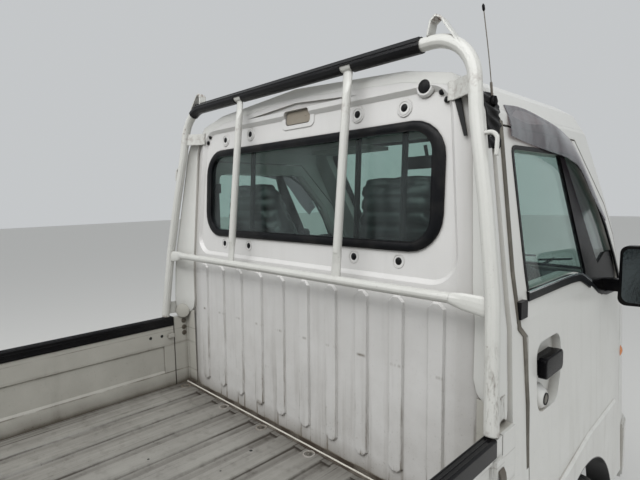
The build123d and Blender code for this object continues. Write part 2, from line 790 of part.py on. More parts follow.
with BuildPart() as bed_subframe:
    for sign in SIDES.values():
        low_x, high_x = sorted((sign * sill_inner_x, sign * floor_half_width))
        add(box_between((low_x, bed_start_y, beam_high_z - sill_height), (high_x, bed_rear_y, beam_high_z)))
        for hinge_y in side_hinges:
            for shift in (-ear_shift, ear_shift):
                add(hinge_knuckle((sign * gate_hinge_x, hinge_y + shift, gate_hinge_z), True, hinge_ear,
                                  sign * (gate_hinge_x - floor_half_width + 1), 2, 8))
    add(box_between((-floor_half_width, bed_rear_y - end_sill + seat_gap, beam_high_z - sill_height),
                    (floor_half_width, bed_rear_y, beam_high_z)))
    for hinge_x in rear_hinges:
        for shift in (-ear_shift, ear_shift):
            add(hinge_knuckle((hinge_x + shift, rear_hinge_y, gate_hinge_z), False, hinge_ear,
                              rear_hinge_y - bed_rear_y + 1, 2, 8))
write_node(bed_subframe.part, "bed_subframe")

with BuildPart() as bed_posts:
    for sign in SIDES.values():
        low_x, high_x = sorted((sign * bed_half, sign * (bed_half + gate_thickness)))
        add(box_between((low_x, post_front_y, gate_bottom_z - 20),
                        (high_x, post_front_y + post_depth, gate_top_z)))
        low_x, high_x = sorted((sign * floor_half_width, sign * bed_half))
        add(box_between((low_x, bed_start_y, gate_bottom_z - 20),
                        (high_x, post_front_y + post_depth, gate_bottom_z)))
write_node(bed_posts.part, "bed_posts")

# Drop sides: pressed panels hinged along their lower outer edge, given as (depth from the inner face, height)
gate_latch_size = (8, 36, 64)
gate_section = [(0, gate_bottom_z), (0, 709), (gate_bead_depth, 722), (gate_bead_depth, 824), (0, 829),
                (0, gate_top_z), (gate_thickness, gate_top_z)]
for low_z, high_z in ((794, 900), (662, 772)):
    gate_section += [(gate_thickness, high_z), (gate_thickness - gate_bead_depth, high_z - 6),
                     (gate_thickness - gate_bead_depth, low_z + 6), (gate_thickness, low_z)]
gate_section += [(gate_thickness, gate_bottom_z)]
latch_high_z = gate_top_z - trim_height - 6
with BuildPart() as left_gate:
    add(front_block([(bed_half + depth, z) for depth, z in gate_section], side_gate_front_y, side_gate_rear_y))
    for end_y, inward in ((side_gate_front_y, 1), (side_gate_rear_y, -1)):
        low_y, high_y = sorted((end_y, end_y + inward * gate_rim))
        add(box_between((bed_half, low_y, gate_bottom_z), (bed_half + gate_thickness, high_y, gate_top_z)))
        latch_y = end_y + inward * (gate_latch_size[1] / 2 + 4)
        with Locations((bed_half + gate_thickness + gate_latch_size[0] / 2, latch_y, latch_high_z - 32)):
            Box(*gate_latch_size)
    for hinge_y in side_hinges:
        add(hinge_knuckle((gate_hinge_x, hinge_y, gate_hinge_z), True, hinge_length, 10, 0, 0))
        with Locations((gate_hinge_x - 5, hinge_y, gate_hinge_z + 6)):
            Box(10, hinge_length, 12)
rear_half = bed_half + gate_thickness
with BuildPart() as rear_gate:
    add(side_block([(rear_gate_inner_y + depth, z) for depth, z in gate_section], -rear_half, rear_half))
    for sign in SIDES.values():
        low_x, high_x = sorted((sign * rear_half, sign * (rear_half - gate_rim)))
        add(box_between((low_x, rear_gate_inner_y, gate_bottom_z), (high_x, rear_gate_inner_y + gate_thickness,
                                                                    gate_top_z)))
    for hinge_x in rear_hinges:
        add(hinge_knuckle((hinge_x, rear_hinge_y, gate_hinge_z), False, hinge_length, 10, 0, 0))
        with Locations((hinge_x, rear_hinge_y - 5, gate_hinge_z + 6)):
            Box(hinge_length, 10, 12)
write_node(rear_gate.part, "rear_gate")
for side, sign in SIDES.items():
    write_node(flip(left_gate.part, sign), f"{side}_gate")
    trim_y = side_gate_front_y + trim_start[side]
    with BuildPart() as gate_trim:
        add(box_between((bed_half - trim_wall, trim_y, gate_top_z - trim_height),
                        (bed_half + gate_thickness + trim_wall, side_gate_rear_y, gate_top_z + trim_wall)))
        chamfer(gate_trim.edges().filter_by(Axis.Y).group_by(Axis.Z)[-1], trim_wall - 0.5)
        add(box_between((bed_half - seat_gap, trim_y - 1, 0),
                        (bed_half + gate_thickness + seat_gap, side_gate_rear_y + 1, gate_top_z)),
            mode=Mode.SUBTRACT)
    write_node(flip(gate_trim.part, sign), f"{side}_gate_trim")

# Guard frame: bent hoop, lower rail and upright bars with ends pressed flat, clamp strips, hooks
guard_angle = atan(guard_lean)
guard_plane = Plane(origin=(0, guard_y, back_z), x_dir=(1, 0, 0), z_dir=(0, -cos(guard_angle), -sin(guard_angle)))
guard_up = (0, -sin(guard_angle), cos(guard_angle))


def on_guard(x, z):
    """Point of the guard frame's plane at a given width and height."""
    return (x, (z - back_z) / cos(guard_angle))


def guard_point(x, z):
    """Point in space of the guard frame's plane at a given width and height."""
    return (x, guard_plane_y(z), z)


def flat_end(start, direction, wide_dir, rings):
    """End of a tube pressed flat, through rings of (distance, half width, half thickness, sideways shift)."""
    start, direction, wide = Vector(*start), Vector(*direction), Vector(*wide_dir)
    thin = direction.cross(wide)
    turns = [radians(30 * step + 15) for step in range(12)]
    corners = []
    for distance, half_wide, half_thick, shift in rings:
        middle = start + direction * distance + wide * shift
        corners.append([middle + wide * half_wide * cos(turn) + thin * half_thick * sin(turn) for turn in turns])
    return facet_solid(corners, True)


def bent_strip(points, start_z, strip_height, lean):
    """Flat strip standing on edge, bent along (x, y) points, leaning by lean per unit of height."""
    with BuildSketch(Plane.XY.offset(start_z)) as plan_strip:
        with BuildLine():
            Polyline(*points)
        trace(line_width=strip)
    with BuildPart() as block:
        extrude(to_extrude=plan_strip.sketch, amount=strip_height * sqrt(1 + lean ** 2), dir=(0, -lean, 1))
    return block.part


hoop_half = [(guard_foot_half, guard_foot_z), (half_width - 34.5, 1225), (half_width - 64.5, 1430),
             (half_width - 97.5, 1610), (half_width - 117.5, guard_top_z)]
hoop_points = [on_guard(-x, z) for x, z in hoop_half] + [on_guard(x, z) for x, z in reversed(hoop_half)]
foot_strip_z = 962
foot_strip_height = 50
foot_seat_y = back_plane_y(foot_strip_z) + (seat_gap + strip / 2) * sqrt(1 + margin_slope ** 2)
foot_points = [(x, foot_seat_y - margin_slope * (x - margin_x)) for x in (645, 690)]
foot_points += [(guard_foot_half - 6, back_plane_y(foot_strip_z) + 16),
                (guard_foot_half, guard_plane_y(foot_strip_z))]
clamp_strip_z = 1665
clamp_strip_height = 44
clamp_seat_y = back_plane_y(clamp_strip_z) + seat_gap + strip / 2
clamp_points = [(545, clamp_seat_y), (562, clamp_seat_y), (619, guard_plane_y(clamp_strip_z + 22))]
hook_line = [(511, 1812), (517, 1846), (529, 1855), (543, 1848), (589, 1784), (606, 1762)]
hook_width = 28
rope_hook = [(640, 1575), (690, 1575), (690, 1525)]
rail_end_x = half_width - 137.5
rail_flat_length = 92
bar_flat_length = 80


def top_hook(sign, grow):
    """Rope hook bent from flat strip on the hoop's upper corner, thicker and wider by grow."""
    with BuildPart() as block:
        with BuildSketch(guard_plane.offset(-hook_width / 2 - grow)):
            with BuildLine():
                Polyline(*[on_guard(sign * x, z) for x, z in hook_line])
            trace(line_width=strip + 1 + 2 * grow)
        extrude(amount=hook_width + 2 * grow)
    return block.part


with BuildPart() as guard_frame:
    with BuildLine(guard_plane) as hoop:
        FilletPolyline(*hoop_points, radius=[400, 400, 400, hoop_radius, hoop_radius, 400, 400, 400])
    with BuildSketch(Plane(origin=hoop.line @ 0, x_dir=guard_plane.z_dir, z_dir=hoop.line % 0)):
        RegularPolygon(guard_radius, guard_facets, rotation=180 / guard_facets)
    sweep(path=hoop.line)
    add(rod(guard_point(-rail_end_x - 6, lower_rail_z), guard_point(rail_end_x + 6, lower_rail_z), bar_radius))
    for sign in SIDES.values():
        add(flat_end(guard_point(sign * rail_end_x, lower_rail_z), (sign, 0, 0), guard_up,
                     [(0, bar_radius, bar_radius, 0), (34, 19, 6, -3), (rail_flat_length, 23, 6, -8)]))
        bar_low, bar_high = guard_point(sign * bar_x, lower_rail_z), guard_point(sign * bar_x, guard_top_z)
        bar_mid_low = guard_point(sign * bar_x, lower_rail_z + bar_flat_length - 6)
        bar_mid_high = guard_point(sign * bar_x, guard_top_z - bar_flat_length + 6)
        add(rod(bar_mid_low, bar_mid_high, bar_radius))
        bar_rings = [(0, 17, 7, 0), (bar_flat_length - 34, 16, 7, 0), (bar_flat_length, bar_radius, bar_radius, 0)]
        for start, direction in ((bar_low, guard_up), (bar_high, tuple(-part for part in guard_up))):
            add(flat_end(start, direction, (1, 0, 0), bar_rings))
        add(bent_strip([(sign * x, y) for x, y in foot_points], foot_strip_z, foot_strip_height, low_lean))
        add(bent_strip([(sign * x, y) for x, y in clamp_points], clamp_strip_z, clamp_strip_height, back_lean))
        add(top_hook(sign, 0))
        with BuildLine(guard_plane) as rope_line:
            FilletPolyline(*[on_guard(sign * x, z) for x, z in rope_hook], radius=18)
        with BuildSketch(Plane(origin=rope_line.line @ 0, z_dir=rope_line.line % 0)):
            RegularPolygon(5, 6)
        sweep(path=rope_line.line)
write_node(guard_frame.part, "guard_frame")

# Rubber cover on the guard frame's top, running from the torn right end into the left bend
cover_radius = 19.5
cover_start_x = -490
cover_turn = 32
leg_run = hoop_half[3][0] - hoop_half[4][0]
leg_rise = (hoop_half[4][1] - hoop_half[3][1]) / cos(guard_angle)
corner_turn = radians(90) - atan(leg_run / leg_rise)
bend_x = hoop_half[4][0] - hoop_radius * sin(corner_turn / 2) / cos(corner_turn / 2)
cover_start = on_guard(cover_start_x, guard_top_z)
cover_bend = on_guard(bend_x, guard_top_z)
with BuildPart() as guard_cover:
    with BuildLine(guard_plane) as cover_line:
        Line(cover_start, cover_bend)
        CenterArc((cover_bend[0], cover_bend[1] - hoop_radius), hoop_radius, 90, -cover_turn)
    with BuildSketch(Plane(origin=cover_line.line @ 0, x_dir=guard_plane.z_dir, z_dir=cover_line.line % 0)):
        RegularPolygon(cover_radius, guard_facets, rotation=180 / guard_facets)
        RegularPolygon(guard_radius + seat_gap, guard_facets, rotation=180 / guard_facets, mode=Mode.SUBTRACT)
    sweep(path=cover_line.line)
    for sign in SIDES.values():
        with Locations((sign * bar_x, guard_plane_y(guard_top_z), guard_top_z - cover_radius)):
            Box(40, 4 * bar_radius, 2 * cover_radius, mode=Mode.SUBTRACT)
        add(top_hook(sign, 1), mode=Mode.SUBTRACT)
write_node(guard_cover.part, "guard_cover")


# Wheels: faceted tyre and pressed steel rim, running on the hub spindles
def both_ways(rows):
    """Rows for the whole width from the rows of its positive half."""
    return [(-place, radius) for place, radius in reversed(rows)] + rows


half_tyre = tyre_width / 2
flange_radius = rim_radius + flange_height
bead_x = rim_half - flange_width - 0.8
tread_rows = [(38, tyre_radius), (54, tyre_radius - 3), (64, tyre_radius - 19), (half_tyre, bulge_radius),
              (62, bead_radius), (bead_x, bead_radius), (bead_x, rim_radius + seat_gap)]
tyre = ring(both_ways(tread_rows), tyre_facets)
well_radius = rim_radius - well_depth
well_inner = well_radius - rim_wall
outer_rows = [(22, well_radius), (42, rim_radius), (rim_half - 4, rim_radius),
              (rim_half - flange_width, flange_radius), (rim_half, flange_radius)]
inner_rows = [(24, well_inner), (55, rim_radius - rim_wall), (rim_half, rim_radius + rim_wall)]
disc_face_x = disc_offset + disc_thickness
disc_rows = [(disc_offset, hub_bore - 2), (disc_offset, well_inner + 1), (disc_face_x, well_inner + 1),
             (disc_face_x, dish_radius + 21), (disc_face_x + dish_height, dish_radius + 11),
             (disc_face_x + dish_height, dish_radius - 9), (disc_face_x, dish_radius - 21), (disc_face_x, 42),
             (disc_face_x + 16, 38), (disc_face_x + 16, hub_bore - 2)]
with BuildPart() as rim:
    add(ring(both_ways(outer_rows) + both_ways(inner_rows)[::-1], tyre_facets))
    add(ring(disc_rows, tyre_facets))
    with BuildSketch(Plane.YZ.offset(disc_face_x - 1)):
        with PolarLocations(nut_circle + 12, nut_count):
            RegularPolygon(nut_radius, 6)
    extrude(amount=nut_height)
    with BuildSketch(Plane.YZ.offset(-60)):
        RegularPolygon(hub_bore, tyre_facets, major_radius=False)
        with PolarLocations(dish_radius, vent_count):
            RegularPolygon(vent_radius, 8)
    extrude(amount=120, mode=Mode.SUBTRACT)
for axle, axle_y in AXLES.items():
    for side, sign in SIDES.items():
        place = Location((sign * wheel_x, axle_y, tyre_radius))
        write_node(place * flip(tyre, sign), f"{axle}_{side}_tyre")
        write_node(place * flip(rim.part, sign), f"{axle}_{side}_rim")

# Knuckles: kingpin pillar, arm to the hub and the spindle in the rim's bore
flange_x = wheel_x + disc_offset - seat_gap
with BuildPart() as left_knuckle:
    add(rod((kingpin_x, front_axle_y, kingpin_low_z), (kingpin_x, front_axle_y, kingpin_high_z),
            kingpin_radius, 0))
    for low_x, high_x, radius, sides in ((kingpin_x, flange_x, stub_radius, 12),
                                         (flange_x - hub_flange_width, flange_x, hub_flange_radius, 16),
                                         (wheel_x - 60, wheel_x + 30, hub_bore - pin_gap, 0)):
        add(rod((low_x, front_axle_y, tyre_radius), (high_x, front_axle_y, tyre_radius), radius, sides))
for side, sign in SIDES.items():
    write_node(flip(left_knuckle.part, sign), f"{side}_knuckle")

# Front suspension: cross member, lower arms and struts up to the wheel houses
arm_z = kingpin_low_z - seat_gap - arm_thickness / 2
with BuildPart() as front_suspension:
    with Locations((0, front_axle_y, kingpin_low_z + 30)):
        Box(2 * rail_x, 90, 60)
    for sign in SIDES.values():
        with Locations((sign * rail_x, front_axle_y, (kingpin_low_z + 60 + rail_front_z) / 2)):
            Box(60, 80, rail_front_z - kingpin_low_z - 60)
        with Locations((sign * (rail_x + kingpin_x + kingpin_radius) / 2, front_axle_y, arm_z)):
            Box(kingpin_x + kingpin_radius - rail_x, arm_width, arm_thickness)
        with Locations((sign * rail_x, front_axle_y, arm_z + 10)):
            Box(40, 80, arm_thickness + 20)
        add(rod((sign * kingpin_x, front_axle_y, kingpin_high_z + seat_gap),
                (sign * kingpin_x, front_axle_y, platform_z - floor_sheet - seat_gap), strut_radius))
write_node(front_suspension.part, "front_suspension")

# Rear axle with its hubs, and the leaf springs it hangs on
spring_z = tyre_radius + axle_radius
axle_plane = Plane(origin=(0, rear_axle_y, tyre_radius), x_dir=(0, 1, 0), z_dir=(1, 0, 0))
half_diff = diff_width / 2
with BuildPart() as rear_axle:
    add(rod((-wheel_x + 60, rear_axle_y, tyre_radius), (wheel_x - 60, rear_axle_y, tyre_radius), axle_radius))
    add(rod((-wheel_x - 30, rear_axle_y, tyre_radius), (wheel_x + 30, rear_axle_y, tyre_radius),
            hub_bore - pin_gap, 0))
    add(ring([(-half_diff, 20), (-half_diff, 60), (25 - half_diff, diff_radius), (half_diff - 25, diff_radius),
              (half_diff, 60), (half_diff, 20)], 12, axle_plane))
    for sign in SIDES.values():
        low_x, high_x = sorted((sign * (flange_x - hub_flange_width), sign * flange_x))
        add(rod((low_x, rear_axle_y, tyre_radius), (high_x, rear_axle_y, tyre_radius), drum_radius, 16))
        with Locations((sign * spring_x, rear_axle_y, (tyre_radius + spring_z + spring_pad) / 2)):
            Box(spring_width, 80, spring_z + spring_pad - tyre_radius)
write_node(rear_axle.part, "rear_axle")

hanger_low_x = rail_x + rail_width / 2 + seat_gap
hanger_high_x = spring_x + spring_width / 2
leaf_low_z = spring_z + spring_pad + seat_gap
with BuildPart() as rear_springs:
    for sign in SIDES.values():
        for leaf in range(spring_leaves):
            leaf_length = spring_length * (1 - 0.2 * leaf)
            leaf_z = leaf_low_z + spring_leaf * (spring_leaves - leaf - 0.5)
            with Locations((sign * spring_x, rear_axle_y, leaf_z)):
                Box(spring_width, leaf_length, spring_leaf)
        for end in (-1, 1):
            hanger_y = rear_axle_y + end * (spring_length / 2 - 20)
            with Locations((sign * (hanger_low_x + hanger_high_x) / 2, hanger_y,
                            (leaf_low_z + rail_rear_z + 60) / 2 + 10)):
                Box(hanger_high_x - hanger_low_x, 30, rail_rear_z + 60 - leaf_low_z)
write_node(rear_springs.part, "rear_springs")

# Engine with its gearbox as one plain block, and the shaft to the rear axle
engine_low_z = 260
engine_rear_y = back_y - 140
engine_half = 230
gearbox_length = 330
mount_y = engine_rear_y - 160
with BuildPart() as engine:
    add(box_between((-engine_half, front_axle_y + 60, engine_low_z),
                    (engine_half, engine_rear_y, platform_z - floor_sheet - 20)))
    add(box_between((-120, engine_rear_y, engine_low_z + 20),
                    (120, engine_rear_y + gearbox_length, engine_low_z + 220)))
    mount_half = rail_x - rail_width / 2 - seat_gap
    add(box_between((-mount_half, mount_y - 30, 340), (mount_half, mount_y + 30, 380)))
write_node(engine.part, "engine")
shaft_front_y = engine_rear_y + gearbox_length + seat_gap
shaft_rear_y = rear_axle_y - diff_radius - seat_gap
shaft_front_z = engine_low_z + 100
shaft_ends = [(0, shaft_front_y, shaft_front_z), (0, shaft_rear_y, tyre_radius)]
with BuildPart() as propeller_shaft:
    for low_share, high_share, radius in ((-0.01, 1.01, shaft_radius), (-0.01, 0.05, joint_radius),
                                          (0.95, 1.01, joint_radius)):
        places = [tuple(a + share * (b - a) for a, b in zip(*shaft_ends)) for share in (low_share, high_share)]
        add(rod(*places, radius))
    add(box_between((-half_width, shaft_front_y, 0), (half_width, shaft_rear_y, roof_z)), mode=Mode.INTERSECT)
write_node(propeller_shaft.part, "propeller_shaft")

# Fuel tank with its straps, and the exhaust with its tail pipe, hung from the frame behind the cab
tank_front_y = kick_rear_y + 60
tank_rear_y = rear_axle_y - spring_length / 2 - 105
side_tank_x = half_width - 77.5
hung_x = rail_x + rail_width / 2 + seat_gap


def rounded_bar(low, high, grow, radius):
    """Bar along Y between two corners, its section rounded and grown sideways and up."""
    with BuildPart() as block:
        with BuildSketch(Plane.XZ.offset(-low[1])):
            with Locations(((low[0] + high[0]) / 2, (low[2] + high[2]) / 2)):
                RectangleRounded(high[0] - low[0] + 2 * grow, high[2] - low[2] + 2 * grow, radius + grow)
        extrude(amount=low[1] - high[1])
    return block.part


with BuildPart() as fuel_tank:
    add(rounded_bar((hung_x, tank_front_y, 300), (side_tank_x, tank_rear_y, 500), 0, 40))
    for share in (0.22, 0.78):
        strap_y = tank_front_y + share * (tank_rear_y - tank_front_y)
        add(rounded_bar((hung_x, strap_y - 15, 300), (side_tank_x, strap_y + 15, 500), 3, 40))
    add(box_between((0, front_y, 0), (hung_x, rear_y, roof_z)), mode=Mode.SUBTRACT)
write_node(fuel_tank.part, "fuel_tank")
exhaust_front_y = kick_rear_y + 80
exhaust_rear_y = rear_axle_y - spring_length / 2 - 125
pipe_points = [(-560, exhaust_rear_y - 5), (-560, exhaust_rear_y + 70), (60 - half_width, exhaust_rear_y + 200)]
with BuildPart() as exhaust:
    add(rounded_bar((97.5 - half_width, exhaust_front_y, 330), (-hung_x, exhaust_rear_y, 480), 0, 50))
    for share in (0.25, 0.75):
        hanger_y = exhaust_front_y + share * (exhaust_rear_y - exhaust_front_y)
        add(box_between((-480, hanger_y - 15, 455), (-hung_x, hanger_y + 15, 500)))
    with BuildLine(Plane.XY.offset(400)) as pipe:
        FilletPolyline(*pipe_points, radius=60)
    with BuildSketch(Plane(origin=pipe.line @ 0, z_dir=pipe.line % 0)):
        RegularPolygon(20, 8)
    sweep(path=pipe.line)
write_node(exhaust.part, "exhaust")


# Front bumper, with holes for a blank number plate and a low air slot
def bumper_bar(grow, low_z, high_z):
    """Solid block between two heights under the bumper's outline in plan, grown from the cab's."""
    with BuildPart() as block:
        with BuildSketch(Plane.XY.offset(low_z)):
            add(plan_face.sketch)
            offset(amount=grow)
        extrude(amount=high_z - low_z)
    return block.part


with BuildPart() as front_bumper:
    add(bumper_bar(bumper_proud, bumper_low_z + bumper_step, bumper_high_z - bumper_step))
    add(bumper_bar(bumper_proud - bumper_step / 2, bumper_low_z, bumper_high_z))
    add(bumper_bar(bumper_proud - bumper_depth, bumper_low_z - 1, bumper_high_z + 1), mode=Mode.SUBTRACT)
    add(box_between((-half_width, front_y - 50, 0), (half_width, front_y + bumper_wrap, roof_z)),
        mode=Mode.INTERSECT)
    add(cab_outer, mode=Mode.SUBTRACT)
    with BuildSketch(Plane.XZ.offset(-front_y - 100)):
        with Locations((0, plate_z)):
            with GridLocations(plate_hole_spacing, 1, 2, 1):
                Circle(plate_hole_radius)
        with Locations((0, bumper_low_z + 42)):
            RectangleRounded(520, 34, 12)
    extrude(amount=200, mode=Mode.SUBTRACT)
write_node(front_bumper.part, "front_bumper")

# Tail lamps on the under-run bar and mud flaps behind the rear wheels
with BuildPart() as tail_lamps:
    for sign in SIDES.values():
        with Locations((sign * (half_width - 177.5), rail_rear_y + underrun_depth + seat_gap + 10, underrun_z)):
            Box(190, 20, 80)
    chamfer(tail_lamps.faces().group_by(Axis.Y)[-1].edges(), 5)
write_node(tail_lamps.part, "tail_lamps")
flap_y = rear_axle_y + tyre_radius + 60
with BuildPart() as mud_flaps:
    for sign in SIDES.values():
        low_x, high_x = sorted((sign * (wheel_x - 76), sign * (wheel_x + 72)))
        add(box_between((low_x, flap_y, 200), (high_x, flap_y + 6, beam_high_z - sill_height - seat_gap)))
write_node(mud_flaps.part, "mud_flaps")

# Cab inside: seats, dashboard with the steering column, steering wheel
seat_x = 345
seat_half = 235
seat_rear_y = back_y - 190
seat_front_y = seat_rear_y - 470
seat_low_z = platform_z + seat_gap
cushion_outline = [(seat_front_y, seat_low_z), (seat_rear_y, seat_low_z), (seat_rear_y, seat_low_z + 130),
                   (seat_front_y, seat_low_z + 185)]
back_outline = [(seat_rear_y - 90, seat_low_z), (seat_rear_y, seat_low_z), (seat_rear_y + 100, 1340),
                (seat_rear_y + 125, 1530), (seat_rear_y + 55, 1530), (seat_rear_y - 5, 1300)]
back_front_half = [(seat_half, seat_low_z - 10), (seat_half, 1290), (seat_half - 65, 1385),
                   (seat_half - 95, 1540)]
back_front = back_front_half + [(-x, z) for x, z in reversed(back_front_half)]
with BuildPart() as seats:
    for sign in SIDES.values():
        add(side_block(cushion_outline, sign * seat_x - seat_half, sign * seat_x + seat_half))
        add(side_block(back_outline, sign * seat_x - seat_half, sign * seat_x + seat_half)
            & front_block([(sign * seat_x + x, z) for x, z in back_front], front_y, back_y))
write_node(seats.part, "seats")

dash_half = cab_half - 80
dash_section = [(front_y + 130, 700), (front_y + 367, 700), (front_y + 407, 900), (front_y + 367, 1040),
                (front_y + 200, 1060)]
wheel_centre = (-seat_x, seat_rear_y - 565, 1020)
column_angle = 40
column_dir = (0, cos(radians(column_angle)), sin(radians(column_angle)))
wheel_plane = Plane(origin=wheel_centre, z_dir=column_dir)
steering_radius = 178
grip_radius = 14
spoke_width = 34
with BuildPart() as dashboard:
    add(side_block(dash_section, -dash_half, dash_half))
    with BuildSketch(wheel_plane.offset(-16 - seat_gap)):
        RegularPolygon(28, 12)
    extrude(amount=-330)
    add(skin_layers[cab_wall], mode=Mode.INTERSECT)
write_node(dashboard.part, "dashboard")
grip_turns = [radians(22.5 + 45 * step) for step in range(8)]
grip_rows = [(grip_radius * cos(turn), grip_radius * sin(turn)) for turn in grip_turns]
wheel_hub = wheel_plane.offset(-16)
with BuildPart() as steering_wheel:
    add(ring([(along, steering_radius + out) for along, out in grip_rows], 28, wheel_plane.offset(10)))
    with BuildSketch(wheel_hub):
        RegularPolygon(55, 12)
    extrude(amount=40)
    for angle in (0, 120, 240):
        with BuildSketch(wheel_hub.offset(14)):
            with Locations(Location((0, 0, 0), (0, 0, 90 + angle))):
                with Locations((steering_radius / 2, 0)):
                    Rectangle(steering_radius, spoke_width)
        extrude(amount=12)
write_node(steering_wheel.part, "steering_wheel")

# Door fittings: mirror on its arm, mirror corner, black sash, handle and key cylinder
mirror_y = front_y + 632.5
mirror_low_z = 1076
mirror_high_z = 1274
mirror_near_x = cab_half + 24
mirror_far_x = mirror_near_x + 140
mirror_outline = [(mirror_near_x, mirror_low_z), (mirror_far_x, mirror_low_z + 6),
                  (mirror_far_x - 6, mirror_high_z), (mirror_near_x + 4, mirror_high_z - 4)]
handle_low_z, handle_high_z = handle_z - handle_height / 2, handle_z + handle_height / 2
handle_outline = [(recess_floor_x, handle_low_z), (recess_floor_x + 14, handle_low_z),
                  (recess_floor_x + 14, handle_z), (recess_floor_x + 24, handle_z + 4),
                  (recess_floor_x + 34, handle_z + 4),
                  (recess_floor_x + 36, handle_high_z - 4), (recess_floor_x + 32, handle_high_z),
                  (recess_floor_x, handle_high_z)]
with BuildPart() as mirror_body:
    add(front_block(mirror_outline, mirror_y - 25, mirror_y + 25, 24))
    chamfer(mirror_body.faces().sort_by(Axis.Y)[0].edges(), 14)
with BuildPart() as left_door_fittings:
    add(mirror_body.part)
    add(side_block([(mirror_y - 15, 1118), (mirror_y + 15, 1118), (mirror_y + 15, 1158), (mirror_y - 15, 1158)],
                   cab_half - 60, mirror_near_x + 10))
    add(mirror_sail)
    add(front_block(handle_outline, handle_y - handle_length / 2, handle_y + handle_length / 2))
    add(rod((recess_floor_x, key_y, key_z), (recess_floor_x + 18, key_y, key_z), 16))
for side, sign in SIDES.items():
    write_node(flip(left_door_fittings.part, sign), f"{side}_door_fittings")

# Radio aerial on the right roof edge
aerial_foot = (-roof_half + 10, back_y - 65, 1652)
aerial_tip = (-roof_half + 10, back_y - 13, 1896)
with BuildPart() as aerial:
    add(rod((aerial_foot[0] + 12, aerial_foot[1], aerial_foot[2] - 20), (aerial_foot[0] - 12, aerial_foot[1],
                                                                       aerial_foot[2] + 6), 11))
    add(rod(aerial_foot, aerial_tip, 3))
    add(rod(aerial_tip, (aerial_tip[0], aerial_tip[1] + 5, aerial_tip[2] + 24), 5))
    add(cab_solid, mode=Mode.SUBTRACT)
write_node(aerial.part, "aerial")
print("all nodes done")
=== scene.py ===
"""Used kei truck, seen from its load bed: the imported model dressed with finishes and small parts."""
import json
from math import cos, pi, radians, sin, tau

import bmesh
import bpy
import numpy as np
from mathutils import Matrix, Vector


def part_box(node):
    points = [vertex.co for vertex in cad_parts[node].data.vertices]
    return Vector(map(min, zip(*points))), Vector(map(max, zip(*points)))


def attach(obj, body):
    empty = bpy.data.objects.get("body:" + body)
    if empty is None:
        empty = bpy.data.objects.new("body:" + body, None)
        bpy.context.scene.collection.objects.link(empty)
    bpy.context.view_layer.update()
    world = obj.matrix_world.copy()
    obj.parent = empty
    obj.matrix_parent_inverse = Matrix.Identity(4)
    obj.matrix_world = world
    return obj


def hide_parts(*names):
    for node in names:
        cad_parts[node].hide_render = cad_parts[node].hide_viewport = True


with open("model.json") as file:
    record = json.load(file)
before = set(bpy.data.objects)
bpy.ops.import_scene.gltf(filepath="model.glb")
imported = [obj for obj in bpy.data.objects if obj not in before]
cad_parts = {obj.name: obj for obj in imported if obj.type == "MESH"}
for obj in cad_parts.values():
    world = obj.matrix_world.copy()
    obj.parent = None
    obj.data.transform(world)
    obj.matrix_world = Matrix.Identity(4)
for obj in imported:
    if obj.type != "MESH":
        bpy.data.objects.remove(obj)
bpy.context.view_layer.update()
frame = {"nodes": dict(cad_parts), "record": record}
NODES = frame["nodes"]

SIDES = {"left": 1, "right": -1}
AXLES = ("front", "rear")

# Places read from the frame, in metres
FLOOR_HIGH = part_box("bed_floor")[1]
FLOOR_Z = FLOOR_HIGH[2]
FLOOR_HALF = FLOOR_HIGH[0]
GATE_LOW, GATE_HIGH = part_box("left_gate")
GATE_INNER_X = GATE_LOW[0]
TRIM_TOP_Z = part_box("left_gate_trim")[1][2]
BUMPER_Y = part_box("front_bumper")[0][1]

# Cab back: rear face in two planes, the upper one leaning forward, with a sunk pan round the window
BACK_Y, BACK_Z, BACK_LEAN = -0.290, 1.250, 0.0659
LOW_Y, LOW_LEAN = -0.277, 0.018
PAN_DEPTH, BOSS_RISE = 0.012, 0.003
RIB_PITCH, RIB_HALF = 0.119, 0.025
GROOVE_PITCH, GROOVE_HALF = 0.1225, 0.024

# Side of the cab: half width at a height
SIDE_Z = (0.33, 0.70, 1.15, 1.63, 1.69)
SIDE_X = (0.697, 0.720, 0.706, 0.645, 0.615)
ARCH_Y, ARCH_Z, ARCH_RADIUS = -0.820, 0.280, 0.332


def panel_y(z, depth=0.0):
    """Rear face of the upper cab back at height z, less a depth into it."""
    return BACK_Y - BACK_LEAN * (z - BACK_Z) - depth


def low_panel_y(z):
    """Rear face of the lower cab back at height z."""
    return LOW_Y - LOW_LEAN * (z - FLOOR_Z)


def side_x(z):
    """Half width of the cab at height z."""
    return np.interp(z, SIDE_Z, SIDE_X)


# Colour and material tools


def srgb(code, alpha=1.0):
    """Linear colour of a six-digit sRGB hex code."""
    parts = [int(code[i:i + 2], 16) / 255 for i in (1, 3, 5)]
    return tuple(c / 12.92 if c <= 0.04045 else ((c + 0.055) / 1.055) ** 2.4 for c in parts) + (alpha,)


def add(mat, kind, links=None, values=None, **settings):
    """Add one node to a material: its settings, its unlinked input values and its linked inputs."""
    made = mat.node_tree.nodes.new("ShaderNode" + kind)
    for key, value in settings.items():
        setattr(made, key, value)
    for key, value in (values or {}).items():
        made.inputs[key].default_value = value
    for key, source in (links or {}).items():
        mat.node_tree.links.new(source, made.inputs[key])
    return made


def blank(name):
    """New material with only its output node, and that node."""
    mat = bpy.data.materials.new(name)
    mat.use_nodes = True
    mat.node_tree.nodes.clear()
    return mat, add(mat, "OutputMaterial")


UNSTRETCHED = (1, 1, 1)


def object_space(mat, scale=UNSTRETCHED):
    """Object coordinates in metres, stretched by scale."""
    place = add(mat, "TexCoord")
    return add(mat, "Mapping", {"Vector": place.outputs["Object"]}, {"Scale": scale}).outputs[0]


